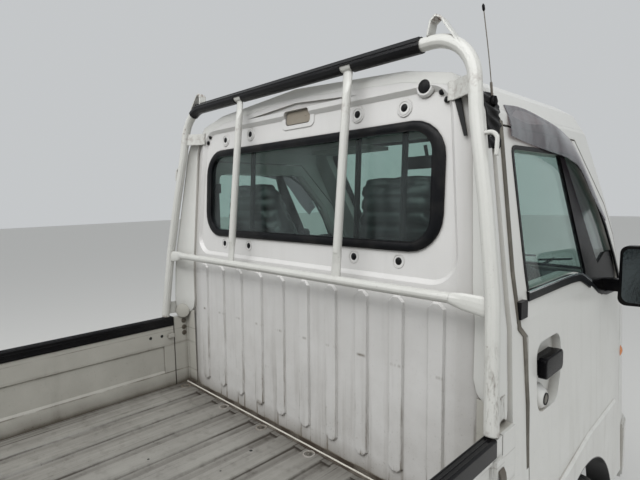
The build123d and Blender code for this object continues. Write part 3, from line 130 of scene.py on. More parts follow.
def coordinate(mat, axis):
    """One Object coordinate of the shaded point, in metres: 0 across, 1 along, 2 up."""
    place = add(mat, "TexCoord")
    return add(mat, "SeparateXYZ", {0: place.outputs["Object"]}).outputs[axis]


def noise(mat, vector, scale, detail=4, roughness=0.55):
    """Fractal noise, about 0.5 on average."""
    return add(mat, "TexNoise", {"Vector": vector},
               {"Scale": scale, "Detail": detail, "Roughness": roughness}).outputs["Fac"]


def remap(mat, source, low, high, to_low=0.0, to_high=1.0):
    """Source stretched so that low to high becomes to_low to to_high, clamped."""
    return add(mat, "MapRange", {"Value": source},
               {"From Min": low, "From Max": high, "To Min": to_low, "To Max": to_high}).outputs[0]


def blotches(mat, stretch, scale, detail, roughness, *limits):
    """Fractal noise in stretched Object coordinates, remapped by its limits."""
    return remap(mat, noise(mat, object_space(mat, stretch), scale, detail, roughness), *limits)


def ramp(mat, axis, *limits):
    """One Object coordinate remapped by its limits."""
    return remap(mat, coordinate(mat, axis), *limits)


def maths(mat, operation, first, second=0.0):
    """One arithmetic step on sockets or numbers."""
    links, values = {}, {}
    for index, term in enumerate((first, second)):
        (values if isinstance(term, (int, float)) else links)[index] = term
    return add(mat, "Math", links, values, operation=operation).outputs[0]


def product(mat, *terms):
    """Product of sockets and numbers."""
    total = terms[0]
    for term in terms[1:]:
        total = maths(mat, "MULTIPLY", total, term)
    return total


def total_of(mat, *terms):
    """Sum of sockets and numbers, held between 0 and 1."""
    total = terms[0]
    for term in terms[1:]:
        total = maths(mat, "ADD", total, term)
    return add(mat, "Clamp", {0: total}).outputs[0]


def blend_colour(mat, factor, first, second):
    """Colour between two colours or colour sockets."""
    links, values = {0: factor}, {}
    for index, term in ((6, first), (7, second)):
        (values if isinstance(term, tuple) else links)[index] = term
    return add(mat, "Mix", links, values, data_type="RGBA").outputs[2]


def away_from(mat, source, middle):
    """Distance of a socket's value from a middle."""
    return maths(mat, "ABSOLUTE", maths(mat, "SUBTRACT", source, middle))


def stripe(mat, axis, pitch, distance, half):
    """1 on lines that lie at a distance either side of a repeated middle, fading over half."""
    share = maths(mat, "FRACT", maths(mat, "DIVIDE", coordinate(mat, axis), pitch))
    away = product(mat, away_from(mat, share, 0.5), pitch)
    return remap(mat, away_from(mat, away, distance), half, 0.0)


def band(mat, axis, middle, half):
    """1 where a coordinate equals middle, fading over half."""
    return remap(mat, away_from(mat, coordinate(mat, axis), middle), half, 0.0)


def surface(mat, output, colour, roughness, values=None, bump=None, bump_depth=0.0005, edge=0.0):
    """Principled surface: colour and roughness may be sockets, bump is a height, edge a corner's radius."""
    links, settings = {}, dict(values or {})
    for key, term in (("Base Color", colour), ("Roughness", roughness)):
        (settings if isinstance(term, (tuple, float, int)) else links)[key] = term
    normal = None
    if edge:
        normal = add(mat, "Bevel", values={"Radius": edge}, samples=4).outputs[0]
    if bump is not None:
        extra = {"Normal": normal} if normal else {}
        normal = add(mat, "Bump", {"Height": bump, **extra}, {"Distance": bump_depth}).outputs[0]
    if normal:
        links["Normal"] = normal
    shader = add(mat, "BsdfPrincipled", links, settings)
    mat.node_tree.links.new(shader.outputs[0], output.inputs["Surface"])
    return mat


def crevice_shade(mat, reach, sharp=0.6):
    """Painted shade from ambient occlusion: 1 in corners and grooves narrower than reach, 0 in the open."""
    shade = add(mat, "AmbientOcclusion", values={"Distance": reach}, samples=8).outputs["AO"]
    return remap(mat, shade, 1.0 - sharp * 0.2, 1.0 - sharp)


# Finishes


def enamel(name, base, grime_and_shade, film=0.25, low=0.3, high=1.2, marks=None, rust=None, edge=0.0025,
           run_scale=(26, 26, 1.6), blackened=None, cleaner_and_lit=None):
    """Baked white enamel on pressed steel: a soft gloss under dust that thickens low down, and painted shade
    that darkens seams.

    marks(mat), rust(mat) and hidden(mat) give masks for soiling and painted shade drawn by this panel's own
    shape, for rust and for what is painted near black; cleaner(mat) is 1 on the outside, where the paint is
    lighter and less dusty: the darker inside is painted shade as well as dust.
    """
    mat, output = blank(name)
    fine = noise(mat, object_space(mat), 7, 6, 0.6)
    runs = noise(mat, object_space(mat, run_scale), 1.0, 5, 0.6)
    specks = blotches(mat, UNSTRETCHED, 160, 2, 0.5, 0.66, 0.74)
    low_down = ramp(mat, 2, low, high, 1.0, 0.12)
    film_mask = product(mat, remap(mat, fine, 0.35, 0.75), low_down, film)
    run_mask = product(mat, remap(mat, runs, 0.52, 0.78), low_down, film * 1.3)
    speck_mask = product(mat, specks, low_down, 0.3)
    # Darkening in seams and corners by ambient occlusion: painted shade, standing also for the soiling that
    # gathers there
    terms = [film_mask, run_mask, speck_mask, product(mat, crevice_shade(mat, 0.03), 0.5)]
    if marks:
        terms.append(marks(mat))
    dirt_and_shade = total_of(mat, *terms)
    coat = srgb(base)
    # Lighter, less dusty paint outside; the darker inside colour is painted shade as well as dust
    if cleaner_and_lit:
        outside = cleaner_and_lit(mat)
        dirt_and_shade = product(mat, dirt_and_shade, remap(mat, outside, 0.0, 1.0, 1.0, 0.55))
        coat = blend_colour(mat, outside, coat, srgb("#CDCDC9"))
    colour = blend_colour(mat, dirt_and_shade, coat, srgb(grime_and_shade))
    rough = remap(mat, dirt_and_shade, 0.0, 1.0, 0.32, 0.75)
    if rust:
        patches = blotches(mat, UNSTRETCHED, 95, 6, 0.7, 0.47, 0.6)
        corroded = total_of(mat, product(mat, rust(mat), patches))
        brown = blend_colour(mat, noise(mat, object_space(mat), 240), srgb("#6B3A1E"), srgb("#3A2418"))
        colour = blend_colour(mat, corroded, colour, brown)
        rough = maths(mat, "MAXIMUM", rough, product(mat, corroded, 0.85))
    # Near black inside the front wheel arches, where hidden(mat) is 1
    if blackened:
        colour = blend_colour(mat, blackened(mat), colour, srgb("#1B1B1C"))
    peel = noise(mat, object_space(mat), 220, 2, 0.5)
    return surface(mat, output, colour, rough, {"Coat Weight": 0.25, "Coat Roughness": 0.2},
                   bump=peel, bump_depth=0.0002, edge=edge)


def arch_inside(mat):
    """1 in the front wheel arches: the housing behind the skin, and within ARCH_RADIUS of the axle."""
    inward = remap(mat, maths(mat, "ABSOLUTE", coordinate(mat, 0)), 0.690, 0.682)
    low_down = ramp(mat, 2, 0.625, 0.615)
    behind = ramp(mat, 1, -1.25, -1.22)
    along = maths(mat, "SUBTRACT", coordinate(mat, 1), ARCH_Y)
    above = maths(mat, "MAXIMUM", maths(mat, "SUBTRACT", coordinate(mat, 2), ARCH_Z), 0.0)
    squares = maths(mat, "ADD", product(mat, along, along), product(mat, above, above))
    lip = remap(mat, maths(mat, "SQRT", squares), ARCH_RADIUS + 0.0035, ARCH_RADIUS + 0.002)
    return maths(mat, "MAXIMUM", lip, product(mat, inward, low_down, behind))


def floor_marks(mat):
    """Dirt in the floor's grooves, dark lines along their sides, lengthwise streaks and scuffs, and a band
    darker by the cab back: painted shade with soiling.
    """
    streaks = blotches(mat, (42, 1.3, 42), 1.0, 6, 0.65, 0.42, 0.72)
    broken = blotches(mat, (30, 2.2, 30), 1.0, 5, 0.7, 0.36, 0.62)
    groove = product(mat, stripe(mat, 0, GROOVE_PITCH, 0.0, GROOVE_HALF + 0.004), 0.28)
    sides = product(mat, stripe(mat, 0, GROOVE_PITCH, 0.019, 0.0035), broken, 0.95)
    seams = product(mat, stripe(mat, 0, GROOVE_PITCH, 0.043, 0.003), broken, streaks, 0.8)
    # Band darker along the foot of the cab back: painted shade with soiling
    by_cab = product(mat, band(mat, 1, LOW_Y + 0.01, 0.16), 0.35)
    scuffs = blotches(mat, (260, 9, 260), 1.0, 4, 0.7, 0.6, 0.7, 0.0, 0.25)
    return total_of(mat, product(mat, streaks, 0.26), groove, sides, seams, by_cab, scuffs)


def panel_marks(mat):
    """Darkening on the cab back: lines down both sides of each rib and a dark foot, painted shade at the rib
    edges and along the floor with soiling; short dashes on the ribs; the outer ends darker as painted shade.
    """
    low_down = ramp(mat, 2, 0.66, 1.1, 1.0, 0.0)
    broken = blotches(mat, (60, 60, 7), 1.0, 6, 0.7, 0.46, 0.62)
    # Lines down both sides of each rib: painted shade at the rib edges, with soiling
    sides = product(mat, stripe(mat, 0, RIB_PITCH, RIB_HALF - 0.004, 0.005), broken, low_down, 1.0)
    rib = stripe(mat, 0, RIB_PITCH, 0.0, 0.03)
    chips = blotches(mat, (90, 90, 45), 1.0, 4, 0.7, 0.64, 0.7)
    chipped = product(mat, chips, low_down, remap(mat, sides, 0.0, 0.4, 0.35, 1.0), 0.9)
    dashes = product(mat, band(mat, 2, 1.002, 0.006), rib, broken, 1.1)
    rib_foot = product(mat, band(mat, 2, 0.712, 0.016), rib, broken, 0.9)
    # Dark foot where the panel meets the floor: painted shade with soiling
    foot = product(mat, band(mat, 2, FLOOR_Z, 0.07), 0.65)
    # Outer ends darker: painted shade of their angled face
    side_only = remap(mat, maths(mat, "ABSOLUTE", coordinate(mat, 0)), 0.56, 0.6)
    return total_of(mat, sides, chipped, dashes, rib_foot, foot, product(mat, side_only, 0.16))


def gate_marks(mat):
    """Painted shade on the drop sides, with some soiling: dark lines under the trim and along the lower
    crease, a soft shadow step, and a dark foot at the floor, broken into specks.
    """
    broken = blotches(mat, (9, 9, 90), 1.0, 5, 0.7, 0.36, 0.6)
    # Painted shade: the crease line at 0.711, the soft shadow step at 0.829 and the line under the trim at
    # 0.893
    creases = [product(mat, band(mat, 2, z, half), broken, strength)
               for z, half, strength in ((0.711, 0.0035, 0.9), (0.829, 0.011, 0.45), (0.893, 0.0022, 0.7))]
    # Dark foot where the drop side meets the floor: painted shade
    return total_of(mat, *creases, product(mat, band(mat, 2, FLOOR_Z - 0.01, 0.06), 0.6))


def gate_outside(mat):
    """1 on the outer face of the drop sides and posts, past the middle of their thickness."""
    across = remap(mat, maths(mat, "ABSOLUTE", coordinate(mat, 0)), 0.7215, 0.7225)
    behind = ramp(mat, 1, 1.6795, 1.6805)
    return maths(mat, "MAXIMUM", across, behind)


def guard_rust(mat):
    """Where the guard frame's paint has gone: hook tips, clamp ends and the feet of its uprights."""
    high = ramp(mat, 2, 1.838, 1.85)
    foot = ramp(mat, 2, 0.966, 0.952)
    clamp = product(mat, band(mat, 2, 1.687, 0.03), 0.35)
    chips = blotches(mat, UNSTRETCHED, 38, 3, 0.6, 0.68, 0.72, 0.0, 0.7)
    return total_of(mat, high, product(mat, foot, 0.8), clamp, chips)


def guard_scuffs(mat):
    """Grey scuffs on the foot of the right upright."""
    upright = ramp(mat, 0, -0.695, -0.705)
    rubbed = blotches(mat, (60, 60, 14), 1.0, 5, 0.7, 0.5, 0.62)
    return product(mat, upright, band(mat, 2, 1.04, 0.11), rubbed, 0.9)


def plain_rubber(name, base, roughness, grain=700, depth=0.0003, dust=0.12, edge=0.0015, shine=0.5):
    """Moulded rubber or plastic: near black, an even grain and a little dust on top."""
    mat, output = blank(name)
    grit = noise(mat, object_space(mat), grain, 2, 0.5)
    dusty = blotches(mat, UNSTRETCHED, 14, 5, 0.6, 0.45, 0.75, 0.0, dust)
    colour = blend_colour(mat, dusty, srgb(base), srgb("#8A857B"))
    return surface(mat, output, colour, roughness, {"Specular IOR Level": shine},
                   bump=grit, bump_depth=depth, edge=edge)


def thin_glass(name, tint, gloss=0.02, haze=0.0):
    """Window pane: see-through with a tint, and a reflection of 0.02 + 0.98 * facing ** 5 on each face."""
    mat, output = blank(name)
    clear = add(mat, "BsdfTransparent", values={"Color": srgb(tint)}).outputs[0]
    if haze:
        dust = add(mat, "BsdfDiffuse", values={"Color": srgb("#B9C2C4")})
        cloudy = blotches(mat, (9, 9, 3), 1.0, 6, 0.65, 0.35, 0.8, 0.0, haze)
        clear = add(mat, "MixShader", {0: cloudy, 1: clear, 2: dust.outputs[0]}).outputs[0]
    shine = add(mat, "BsdfGlossy", values={"Roughness": gloss, "Color": srgb("#FFFFFF")})
    facing = add(mat, "LayerWeight", values={"Blend": 0.5}).outputs["Facing"]
    mirrored = maths(mat, "ADD", product(mat, maths(mat, "POWER", facing, 5.0), 0.98), 0.02)
    mix = add(mat, "MixShader", {0: mirrored, 1: clear, 2: shine.outputs[0]})
    mat.node_tree.links.new(mix.outputs[0], output.inputs["Surface"])
    return mat


def dull_metal(name, base, roughness, metallic=0.0, dust="#6F675B", dust_amount=0.5, edge=0.0015):
    """Chassis steel under black paint or bare iron, caked with road dust."""
    mat, output = blank(name)
    cake = blotches(mat, UNSTRETCHED, 9, 7, 0.65, 0.38, 0.7, 0.0, dust_amount)
    colour = blend_colour(mat, cake, srgb(base), srgb(dust))
    grit = noise(mat, object_space(mat), 120, 4, 0.6)
    return surface(mat, output, colour, roughness, {"Metallic": metallic},
                   bump=grit, bump_depth=0.0006, edge=edge)


def fluted_lens(name, base, metallic=0.0):
    """Moulded lamp lens: upright flutes 8 mm apart under a clear gloss."""
    mat, output = blank(name)
    flutes = stripe(mat, 0, 0.008, 0.0, 0.004)
    coat = {"Metallic": metallic, "Coat Weight": 1.0, "Coat Roughness": 0.03}
    return surface(mat, output, srgb(base), 0.12, coat, bump=flutes, bump_depth=0.0008, edge=0.002)


# Baked white enamel on pressed steel: even soft gloss with light dust, painted shade in seams, near black
# inside the arches
PAINT = enamel("white_enamel", "#CDCDC9", "#8B8478", film=0.22, blackened=arch_inside)
# The same enamel on the cab back: dark lines beside each rib and a darker foot, painted shade with soiling
# running down, and the outer ends darker as painted shade
PANEL_PAINT = enamel("cab_back_enamel", "#CCCBC9", "#6A6256", film=0.36, low=0.62, marks=panel_marks)
# Enamel worn dull by loads: grey, with dark dirt along each groove
BED_PAINT = enamel("bed_floor_enamel", "#8C8A84", "#38322B", film=0.26, low=0.6, high=1.6, marks=floor_marks)
# Enamel of the drop sides: darker and dull inside, painted shade together with dust; lighter and less dusty
# outside
GATE_PAINT = enamel("gate_enamel", "#B4B2AA", "#5A5348", film=0.3, low=0.6, high=1.2, marks=gate_marks,
                    run_scale=(8, 8, 1.2), cleaner_and_lit=gate_outside)
# Brushed white enamel on steel tube: rust at the hooks and clamps, grey rubs at the right foot
GUARD_PAINT = enamel("guard_enamel", "#C4C4BF", "#6F675F", film=0.12, low=0.8, high=2.0, marks=guard_scuffs,
                     rust=guard_rust, edge=0.005)
# Black chassis paint, bare castings, zinc-plated bolts and rusted steel, all under road dust
CHASSIS = dull_metal("chassis_black_paint", "#1E1E1F", 0.6)
IRON = dull_metal("bare_cast_iron", "#4A4744", 0.7, 0.6)
BOLT = dull_metal("dirty_zinc_bolts", "#77746D", 0.5, 0.7, "#4A3524", 0.6, edge=0.0)
RUSTY = dull_metal("rusted_steel", "#6B3D22", 0.85, 0.1, "#3C2519", 0.8)
# Silver wheel paint and polished trim
RIM = dull_metal("silver_wheel_paint", "#A2A2A1", 0.42, 0.3, "#6F675B", 0.3)
CHROME = dull_metal("bright_trim", "#D5D8DA", 0.16, 1.0, "#A9A9A6", 0.2)
# Moulded EPDM rubber, glossy vinyl tube, tyre rubber and ABS: near black, with a fine even grain
RUBBER = plain_rubber("window_rubber", "#0C0D10", 0.34, dust=0.05, shine=0.14)
COVER = plain_rubber("glossy_vinyl_cover", "#08080B", 0.2, grain=300, depth=0.0001, dust=0.02, edge=0.004,
                     shine=0.24)
TYRE = plain_rubber("tyre_rubber", "#1C1C1D", 0.8, dust=0.35, edge=0.0)
PLASTIC = plain_rubber("black_moulded_plastic", "#08080A", 0.2, dust=0.03, shine=0.07)
# Near black in holes, slits and slots: painted shade in openings; also used for the headlamp frames and the
# key ring
DARK = plain_rubber("dark_recess", "#070708", 0.7, dust=0.05, edge=0.0)
# Inside the cab: grained grey plastic, pale lining, dark vinyl seats and woven belts
CABIN = plain_rubber("grey_cabin_plastic", "#55585B", 0.6, dust=0.1)
LINING = plain_rubber("pale_roof_lining", "#A7A6A0", 0.85, grain=500, dust=0.2)
SEAT = plain_rubber("seat_vinyl", "#1B1C1F", 0.42, grain=400, dust=0.05, edge=0.0)
BELT = plain_rubber("seat_belt_webbing", "#202124", 0.7, grain=900, dust=0.04, edge=0.0)
# Brushed-on sealant, dark strips in seams that paint their shade over packed soiling, the dusty door seal
# darkened as painted shade of the door gap, a beige vent cover and blank plates
SEALANT = plain_rubber("seam_sealant", "#CBC7BD", 0.7, grain=160, depth=0.0008, dust=0.4, edge=0.0)
SEAM_SHADE_AND_GRIME = plain_rubber("seam_shade_and_grime", "#3A3128", 0.9, grain=140, depth=0.0008, dust=0.5, edge=0.0)
GAP = plain_rubber("door_gap_shade_and_dusty_seal", "#57534B", 0.85, grain=160, depth=0.0008, dust=0.6, edge=0.0)
VENT = plain_rubber("vent_cover", "#857D70", 0.7, grain=120, depth=0.001, dust=0.5)
PLATE = plain_rubber("blank_plate", "#E6E5DF", 0.45, grain=200, depth=0.0001, dust=0.1)
# Float glass with a faint green tint, smoked acrylic visors, and a silvered mirror tinted dark as a painted
# dark reflection
GLASS = thin_glass("window_glass", "#E4EEEB", haze=0.06)
SMOKED = thin_glass("smoked_visor", "#BCB2B8", gloss=0.05, haze=0.45)
# Mirror colour darkened: a painted dark reflection
MIRROR = dull_metal("mirror_glass", "#596063", 0.03, 1.0, "#6A7072", 0.05, edge=0.0)
# Moulded acrylic lamp lenses, fluted
LAMP = fluted_lens("headlamp_lens", "#D4D8DA", 0.85)
AMBER = fluted_lens("amber_lens", "#D0730F")
RED = fluted_lens("red_lens", "#A01512")
CLEAR = fluted_lens("clear_lens", "#D9DCDC")

FINISH = {"cab_back_panel": PANEL_PAINT, "bed_floor": BED_PAINT, "guard_frame": GUARD_PAINT,
          "bed_posts": GATE_PAINT, "left_gate": GATE_PAINT, "right_gate": GATE_PAINT, "rear_gate": GATE_PAINT,
          "guard_cover": COVER, "left_gate_trim": COVER, "right_gate_trim": COVER, "cab_floor": CHASSIS}
SLOT_FINISH = {"painted_body": PAINT, "frame_paint": CHASSIS, "guard_paint": GUARD_PAINT,
               "black_plastic": PLASTIC, "interior_plastic": CABIN, "lamp_lens": LAMP, "red_lens": RED,
               "glass": GLASS, "rubber": RUBBER, "tyre": TYRE, "steel_rim": RIM, "raw_iron": IRON,
               "seat_fabric": SEAT}
slot_of = {row["node"]: row["material_slot"] for row in frame["record"]["subparts"]}
for node_name, shape in NODES.items():
    shape.data.materials.clear()
    shape.data.materials.append(FINISH.get(node_name) or SLOT_FINISH[slot_of[node_name]])


# Shapes, each an array of points and a list of faces

ACROSS, UP, AHEAD = (1, 0, 0), (0, 0, 1), (0, -1, 0)


def points_of(*axes):
    """Points from their coordinates, each an array or one number."""
    return np.stack(np.broadcast_arrays(*axes), -1)


def skinned(rings, closed=False):
    """Rings of points joined round and one to the next, with flat ends or closed back to the first."""
    rings = np.asarray(rings, float)
    rows, columns = rings.shape[:2]
    row, column = np.meshgrid(np.arange(rows - (not closed)), np.arange(columns), indexing="ij")
    below, beside = (row + 1) % rows * columns, (column + 1) % columns
    row = row * columns
    faces = np.stack((row + column, row + beside, below + beside, below + column), -1).reshape(-1, 4).tolist()
    if not closed:
        faces += [list(range(columns)), list(range((rows - 1) * columns, rows * columns))]
    return rings.reshape(-1, 3), faces


def sweep(path, section, up=UP, closed=False):
    """Section of (across, rise) offsets carried along a path.

    Point = path + across * side + rise * top: side is the way ahead crossed with up, top is square to both.
    """
    path, section = np.asarray(path, float), np.asarray(section, float)
    ahead = np.roll(path, -1, 0) - np.roll(path, 1, 0) if closed else np.gradient(path, axis=0)
    ahead /= np.linalg.norm(ahead, axis=1, keepdims=True)
    side = np.cross(ahead, up)
    side /= np.linalg.norm(side, axis=1, keepdims=True)
    top = np.cross(side, ahead)
    return skinned(path[:, None] + side[:, None] * section[None, :, :1] + top[:, None] * section[None, :, 1:],
                   closed)


def revolve(profile, sides, centre, axis, closed=False):
    """Rows of (place, radius) turned round an axis: point = centre + place * axis + radius * ring(turn)."""
    axis = np.asarray(axis, float) / np.linalg.norm(axis)
    side = np.cross(axis, UP if abs(axis[2]) < 0.9 else ACROSS)
    side /= np.linalg.norm(side)
    turn = np.arange(sides) * tau / sides
    ring = np.cos(turn)[:, None] * side + np.sin(turn)[:, None] * np.cross(axis, side)
    place, radius = np.asarray(profile, float).T
    rings = np.asarray(centre) + place[:, None, None] * axis + radius[:, None, None] * ring
    return skinned(rings, closed)


def prism(outline, offset):
    """Flat outline of points pushed along an offset."""
    outline = np.asarray(outline, float)
    return skinned([outline, outline + np.asarray(offset, float)])


def block(low, high):
    """Box between two corners."""
    (x0, y0, z0), (x1, y1, z1) = low, high
    return prism([(x0, y0, z0), (x1, y0, z0), (x1, y1, z0), (x0, y1, z0)], (0, 0, z1 - z0))


def circle(radius, sides=10):
    """Corners of a round section."""
    turn = np.arange(sides) * tau / sides
    return points_of(radius * np.cos(turn), radius * np.sin(turn))


def flat(wide, thick):
    """Corners of a flat section."""
    x, z = wide / 2, thick / 2
    return np.array([(-x, -z), (x, -z), (x, z), (-x, z)])


def rounded(half_wide, half_high, radius, steps=7):
    """Points round a rectangle whose corners are quarter circles."""
    turn = np.linspace(0, pi / 2, steps)
    corners = []
    for quarter, (sign_x, sign_z) in enumerate(((1, 1), (-1, 1), (-1, -1), (1, -1))):
        around = turn + quarter * pi / 2
        corners.append(points_of(sign_x * (half_wide - radius) + radius * np.cos(around),
                                 sign_z * (half_high - radius) + radius * np.sin(around)))
    return np.vstack(corners)


def bolt(centre, axis, radius, washer=1.7):
    """Hexagon head on a round washer."""
    rim = washer * radius
    seat = revolve([(-0.001, rim), (0.0015, rim), (0.002, rim - 0.0005)], 16, centre, axis)
    head = revolve([(0, radius), (0.6 * radius, radius), (0.7 * radius, 0.85 * radius)], 6, centre, axis)
    return [seat, head]


def dome(centre, axis, radius, rise):
    """Low round plug: height = rise * (1 - (distance / radius) ** 2)."""
    share = np.linspace(1, 0.05, 6)
    return revolve([(-0.002, radius)] + [(rise * (1 - s * s), s * radius) for s in share], 16, centre, axis)


def soften(points, steps=2):
    """Corner cutting: each run keeps the points a quarter in from its ends, done steps times."""
    points = np.asarray(points, float)
    for _ in range(steps):
        near, far = points[:-1], points[1:]
        inner = np.stack((0.75 * near + 0.25 * far, 0.25 * near + 0.75 * far), 1).reshape(-1, points.shape[1])
        points = np.vstack((points[:1], inner, points[-1:]))
    return points


def even(points, count):
    """Points spread evenly by length along an open line."""
    run = np.concatenate(([0], np.cumsum(np.linalg.norm(np.diff(points, axis=0), axis=1))))
    place = np.linspace(0, run[-1], count)
    return np.stack([np.interp(place, run, points[:, axis]) for axis in range(points.shape[1])], -1)


def both(shapes):
    """Shapes and their mirror images on the other side of the truck."""
    return shapes + [(points * (-1, 1, 1), faces) for points, faces in shapes]


def piece(name, finish, shapes, body="chassis", smooth=30):
    """One piece from several shapes: joined, its faces turned outwards, riding on a body."""
    corners, faces, start = [], [], 0
    for points, shape_faces in shapes:
        corners.append(points)
        faces += [[start + index for index in face] for face in shape_faces]
        start += len(points)
    mesh = bpy.data.meshes.new(name)
    mesh.from_pydata(np.vstack(corners).tolist(), [], faces)
    work = bmesh.new()
    work.from_mesh(mesh)
    bmesh.ops.recalc_face_normals(work, faces=work.faces)
    work.to_mesh(mesh)
    work.free()
    mesh.shade_smooth()
    mesh.set_sharp_from_angle(angle=radians(smooth))
    made = bpy.data.objects.new(name, mesh)
    bpy.context.scene.collection.objects.link(made)
    mesh.materials.append(finish)
    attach(made, body)
    return made


# Wheels: tread and sidewall in one surface, barrel, disc with vents, nuts and hub cap

# Half of the tyre's section as (across, radius), and the bead that closes it
TREAD_ROWS = [(0.0547, 0.166), (0.062, 0.166), (0.0725, 0.215), (0.068, 0.246), (0.058, 0.264),
              (0.038, 0.2705), (0.0, 0.271)]
TYRE_BEAD = [(-0.0547, 0.1525), (0.0547, 0.1525)]
TREAD_DEPTH, TREAD_BARS, BAR_STEPS, SECTION_STEPS = 0.007, 64, 6, 108
TREAD_GROOVES, GROOVE_FADE = (-0.022, 0, 0.022), 0.0026
BARREL_ROWS = [(0.022, 0.132), (0.042, 0.152), (0.055, 0.152), (0.0555, 0.164), (0.059, 0.164),
               (0.059, 0.158), (0.057, 0.146), (0.043, 0.146), (0.024, 0.126)]
# Face of the disc at a radius, and the circle of its eight vents
DISC_R = (0.028, 0.038, 0.042, 0.078, 0.088, 0.110, 0.119, 0.127)
DISC_X = (0.022, 0.022, 0.006, 0.006, 0.025, 0.026, 0.006, 0.006)
VENTS, VENT_CIRCLE, VENT_RADIUS, VENT_DEPTH = 8, 0.099, 0.0135, 0.022
NUT_ROWS, NUT_CIRCLE = [(-0.001, 0.010), (0.014, 0.010), (0.019, 0.006)], 0.062
CAP_ROWS = [(0.020, 0.036), (0.034, 0.033), (0.040, 0.026), (0.042, 0.010)]


def on_axle(side, centre, across, reach, turn):
    """Points at a place along the axle, a radius from it and a turn from upright."""
    x, y, z = centre
    return points_of(x + side * across, y + reach * np.sin(turn), z + reach * np.cos(turn))


def tyre_shape(side, centre):
    """Closed section carried round the axle: radius = section radius - tread depth, where it is on the crown.

    The tread's depth is the larger of three grooves round the tyre and of slanted bars across its shoulders.
    """
    half = soften(TREAD_ROWS, 3)
    across, radius = even(np.vstack((half, half[::-1][1:] * (-1, 1), TYRE_BEAD)), SECTION_STEPS).T
    turn = np.arange(TREAD_BARS * BAR_STEPS) * tau / (TREAD_BARS * BAR_STEPS)
    turn, across = np.meshgrid(turn, across, indexing="ij")
    away = np.abs(across - np.reshape(TREAD_GROOVES, (3, 1, 1)))
    grooves = np.max(np.clip(1.6 - away / GROOVE_FADE, 0, 1), axis=0)
    phase = turn * TREAD_BARS / tau + across * 14 * np.sign(across)
    bars = np.clip(1.7 - np.abs(phase % 1 - 0.5) / 0.13, 0, 1) * (np.abs(across) > 0.03)
    crown = np.clip((radius[None] - 0.250) / 0.012, 0, 1)
    reach = radius[None] - TREAD_DEPTH * np.maximum(grooves, bars) * crown
    return skinned(on_axle(side, centre, across, reach, turn), True)


def disc_shape(side, centre):
    """Disc between a shaped face and a flat back: face = profile(radius) - VENT_DEPTH in a vent's circle."""
    inner, outer = DISC_R[0], DISC_R[-1]
    radius = np.concatenate((np.linspace(inner, outer, 60), [outer, inner]))
    turn, radius = np.meshgrid(np.arange(192) * tau / 192, radius, indexing="ij")
    face = np.interp(radius, DISC_R, DISC_X)
    vent_turn = (turn * VENTS / tau + 0.5) % 1 - 0.5
    from_vent = np.hypot(radius - VENT_CIRCLE, vent_turn * tau / VENTS * VENT_CIRCLE)
    face -= VENT_DEPTH * np.clip((VENT_RADIUS - from_vent) / 0.002, 0, 1)
    face[:, -2:] = -0.004
    return skinned(on_axle(side, centre, face, radius, turn), True)


def make_wheel(axle, side, sign):
    """Tyre, painted wheel, nuts and hub cap of one wheel."""
    low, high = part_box(f"{axle}_{side}_tyre")
    centre = np.array((low + high) / 2)
    outward = np.array((sign, 0, 0))
    body = f"{axle}_{side}_wheel"
    tread = piece(f"{axle}_{side}_tread", TYRE, [tyre_shape(sign, centre)], body, 50)
    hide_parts(f"{axle}_{side}_tyre")
    rows = BARREL_ROWS + [(-place, radius) for place, radius in reversed(BARREL_ROWS)]
    painted = piece(f"{axle}_{side}_wheel_disc", RIM,
                    [revolve(rows, 96, centre, outward, True), disc_shape(sign, centre)], body)
    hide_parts(f"{axle}_{side}_rim")
    nuts = [revolve(NUT_ROWS, 6, on_axle(sign, centre, 0.006, NUT_CIRCLE, turn), outward)
            for turn in np.arange(4) * pi / 2]
    piece(f"{axle}_{side}_wheel_nuts", BOLT, nuts, body)
    piece(f"{axle}_{side}_hub_cap", PLASTIC, [revolve(CAP_ROWS, 32, centre, outward)], body)


# Cab back: plugs, grommet, vent cover, window gasket, rolled corners and the sealed seam at the floor

PANEL_PLUGS = [(0.413, 1.670, PAN_DEPTH - BOSS_RISE), (0.254, 1.675, PAN_DEPTH - BOSS_RISE),
               (0.410, 1.274, PAN_DEPTH), (0.254, 1.274, PAN_DEPTH)]
CLAMP_BOLTS = [(0.522, 1.692), (0.537, 1.671)]
GROMMET = (-0.476, 1.712)
PANEL_NORMAL = (0, 1, BACK_LEAN)
PLUG_RIM = [(-0.002, 0.019), (0.0012, 0.0185), (0.0012, 0.016), (-0.002, 0.0155)]
GROMMET_RIM = [(-0.008, 0.027), (-0.001, 0.022), (-0.001, 0.0175), (-0.008, 0.0175)]
WINDOW_Z = 1.4675
GASKET_ROWS = [(0.0, -0.004), (0.0, 0.006), (0.25, 0.010), (0.75, 0.010), (1.0, 0.006), (1.0, -0.002)]
VENT_Z, VENT_SUNK = 1.702, 0.016
SLIT = ((-0.558, 1.677), (-0.5755, 1.677), (-0.597, 1.579), (-0.5895, 1.579))
RUST_STAINS_Z = (1.020, 0.954)
# Torn film on the quarter panel: its low and high edge
FILM_LOW_Z, FILM_HIGH_Z = 1.545, 1.678
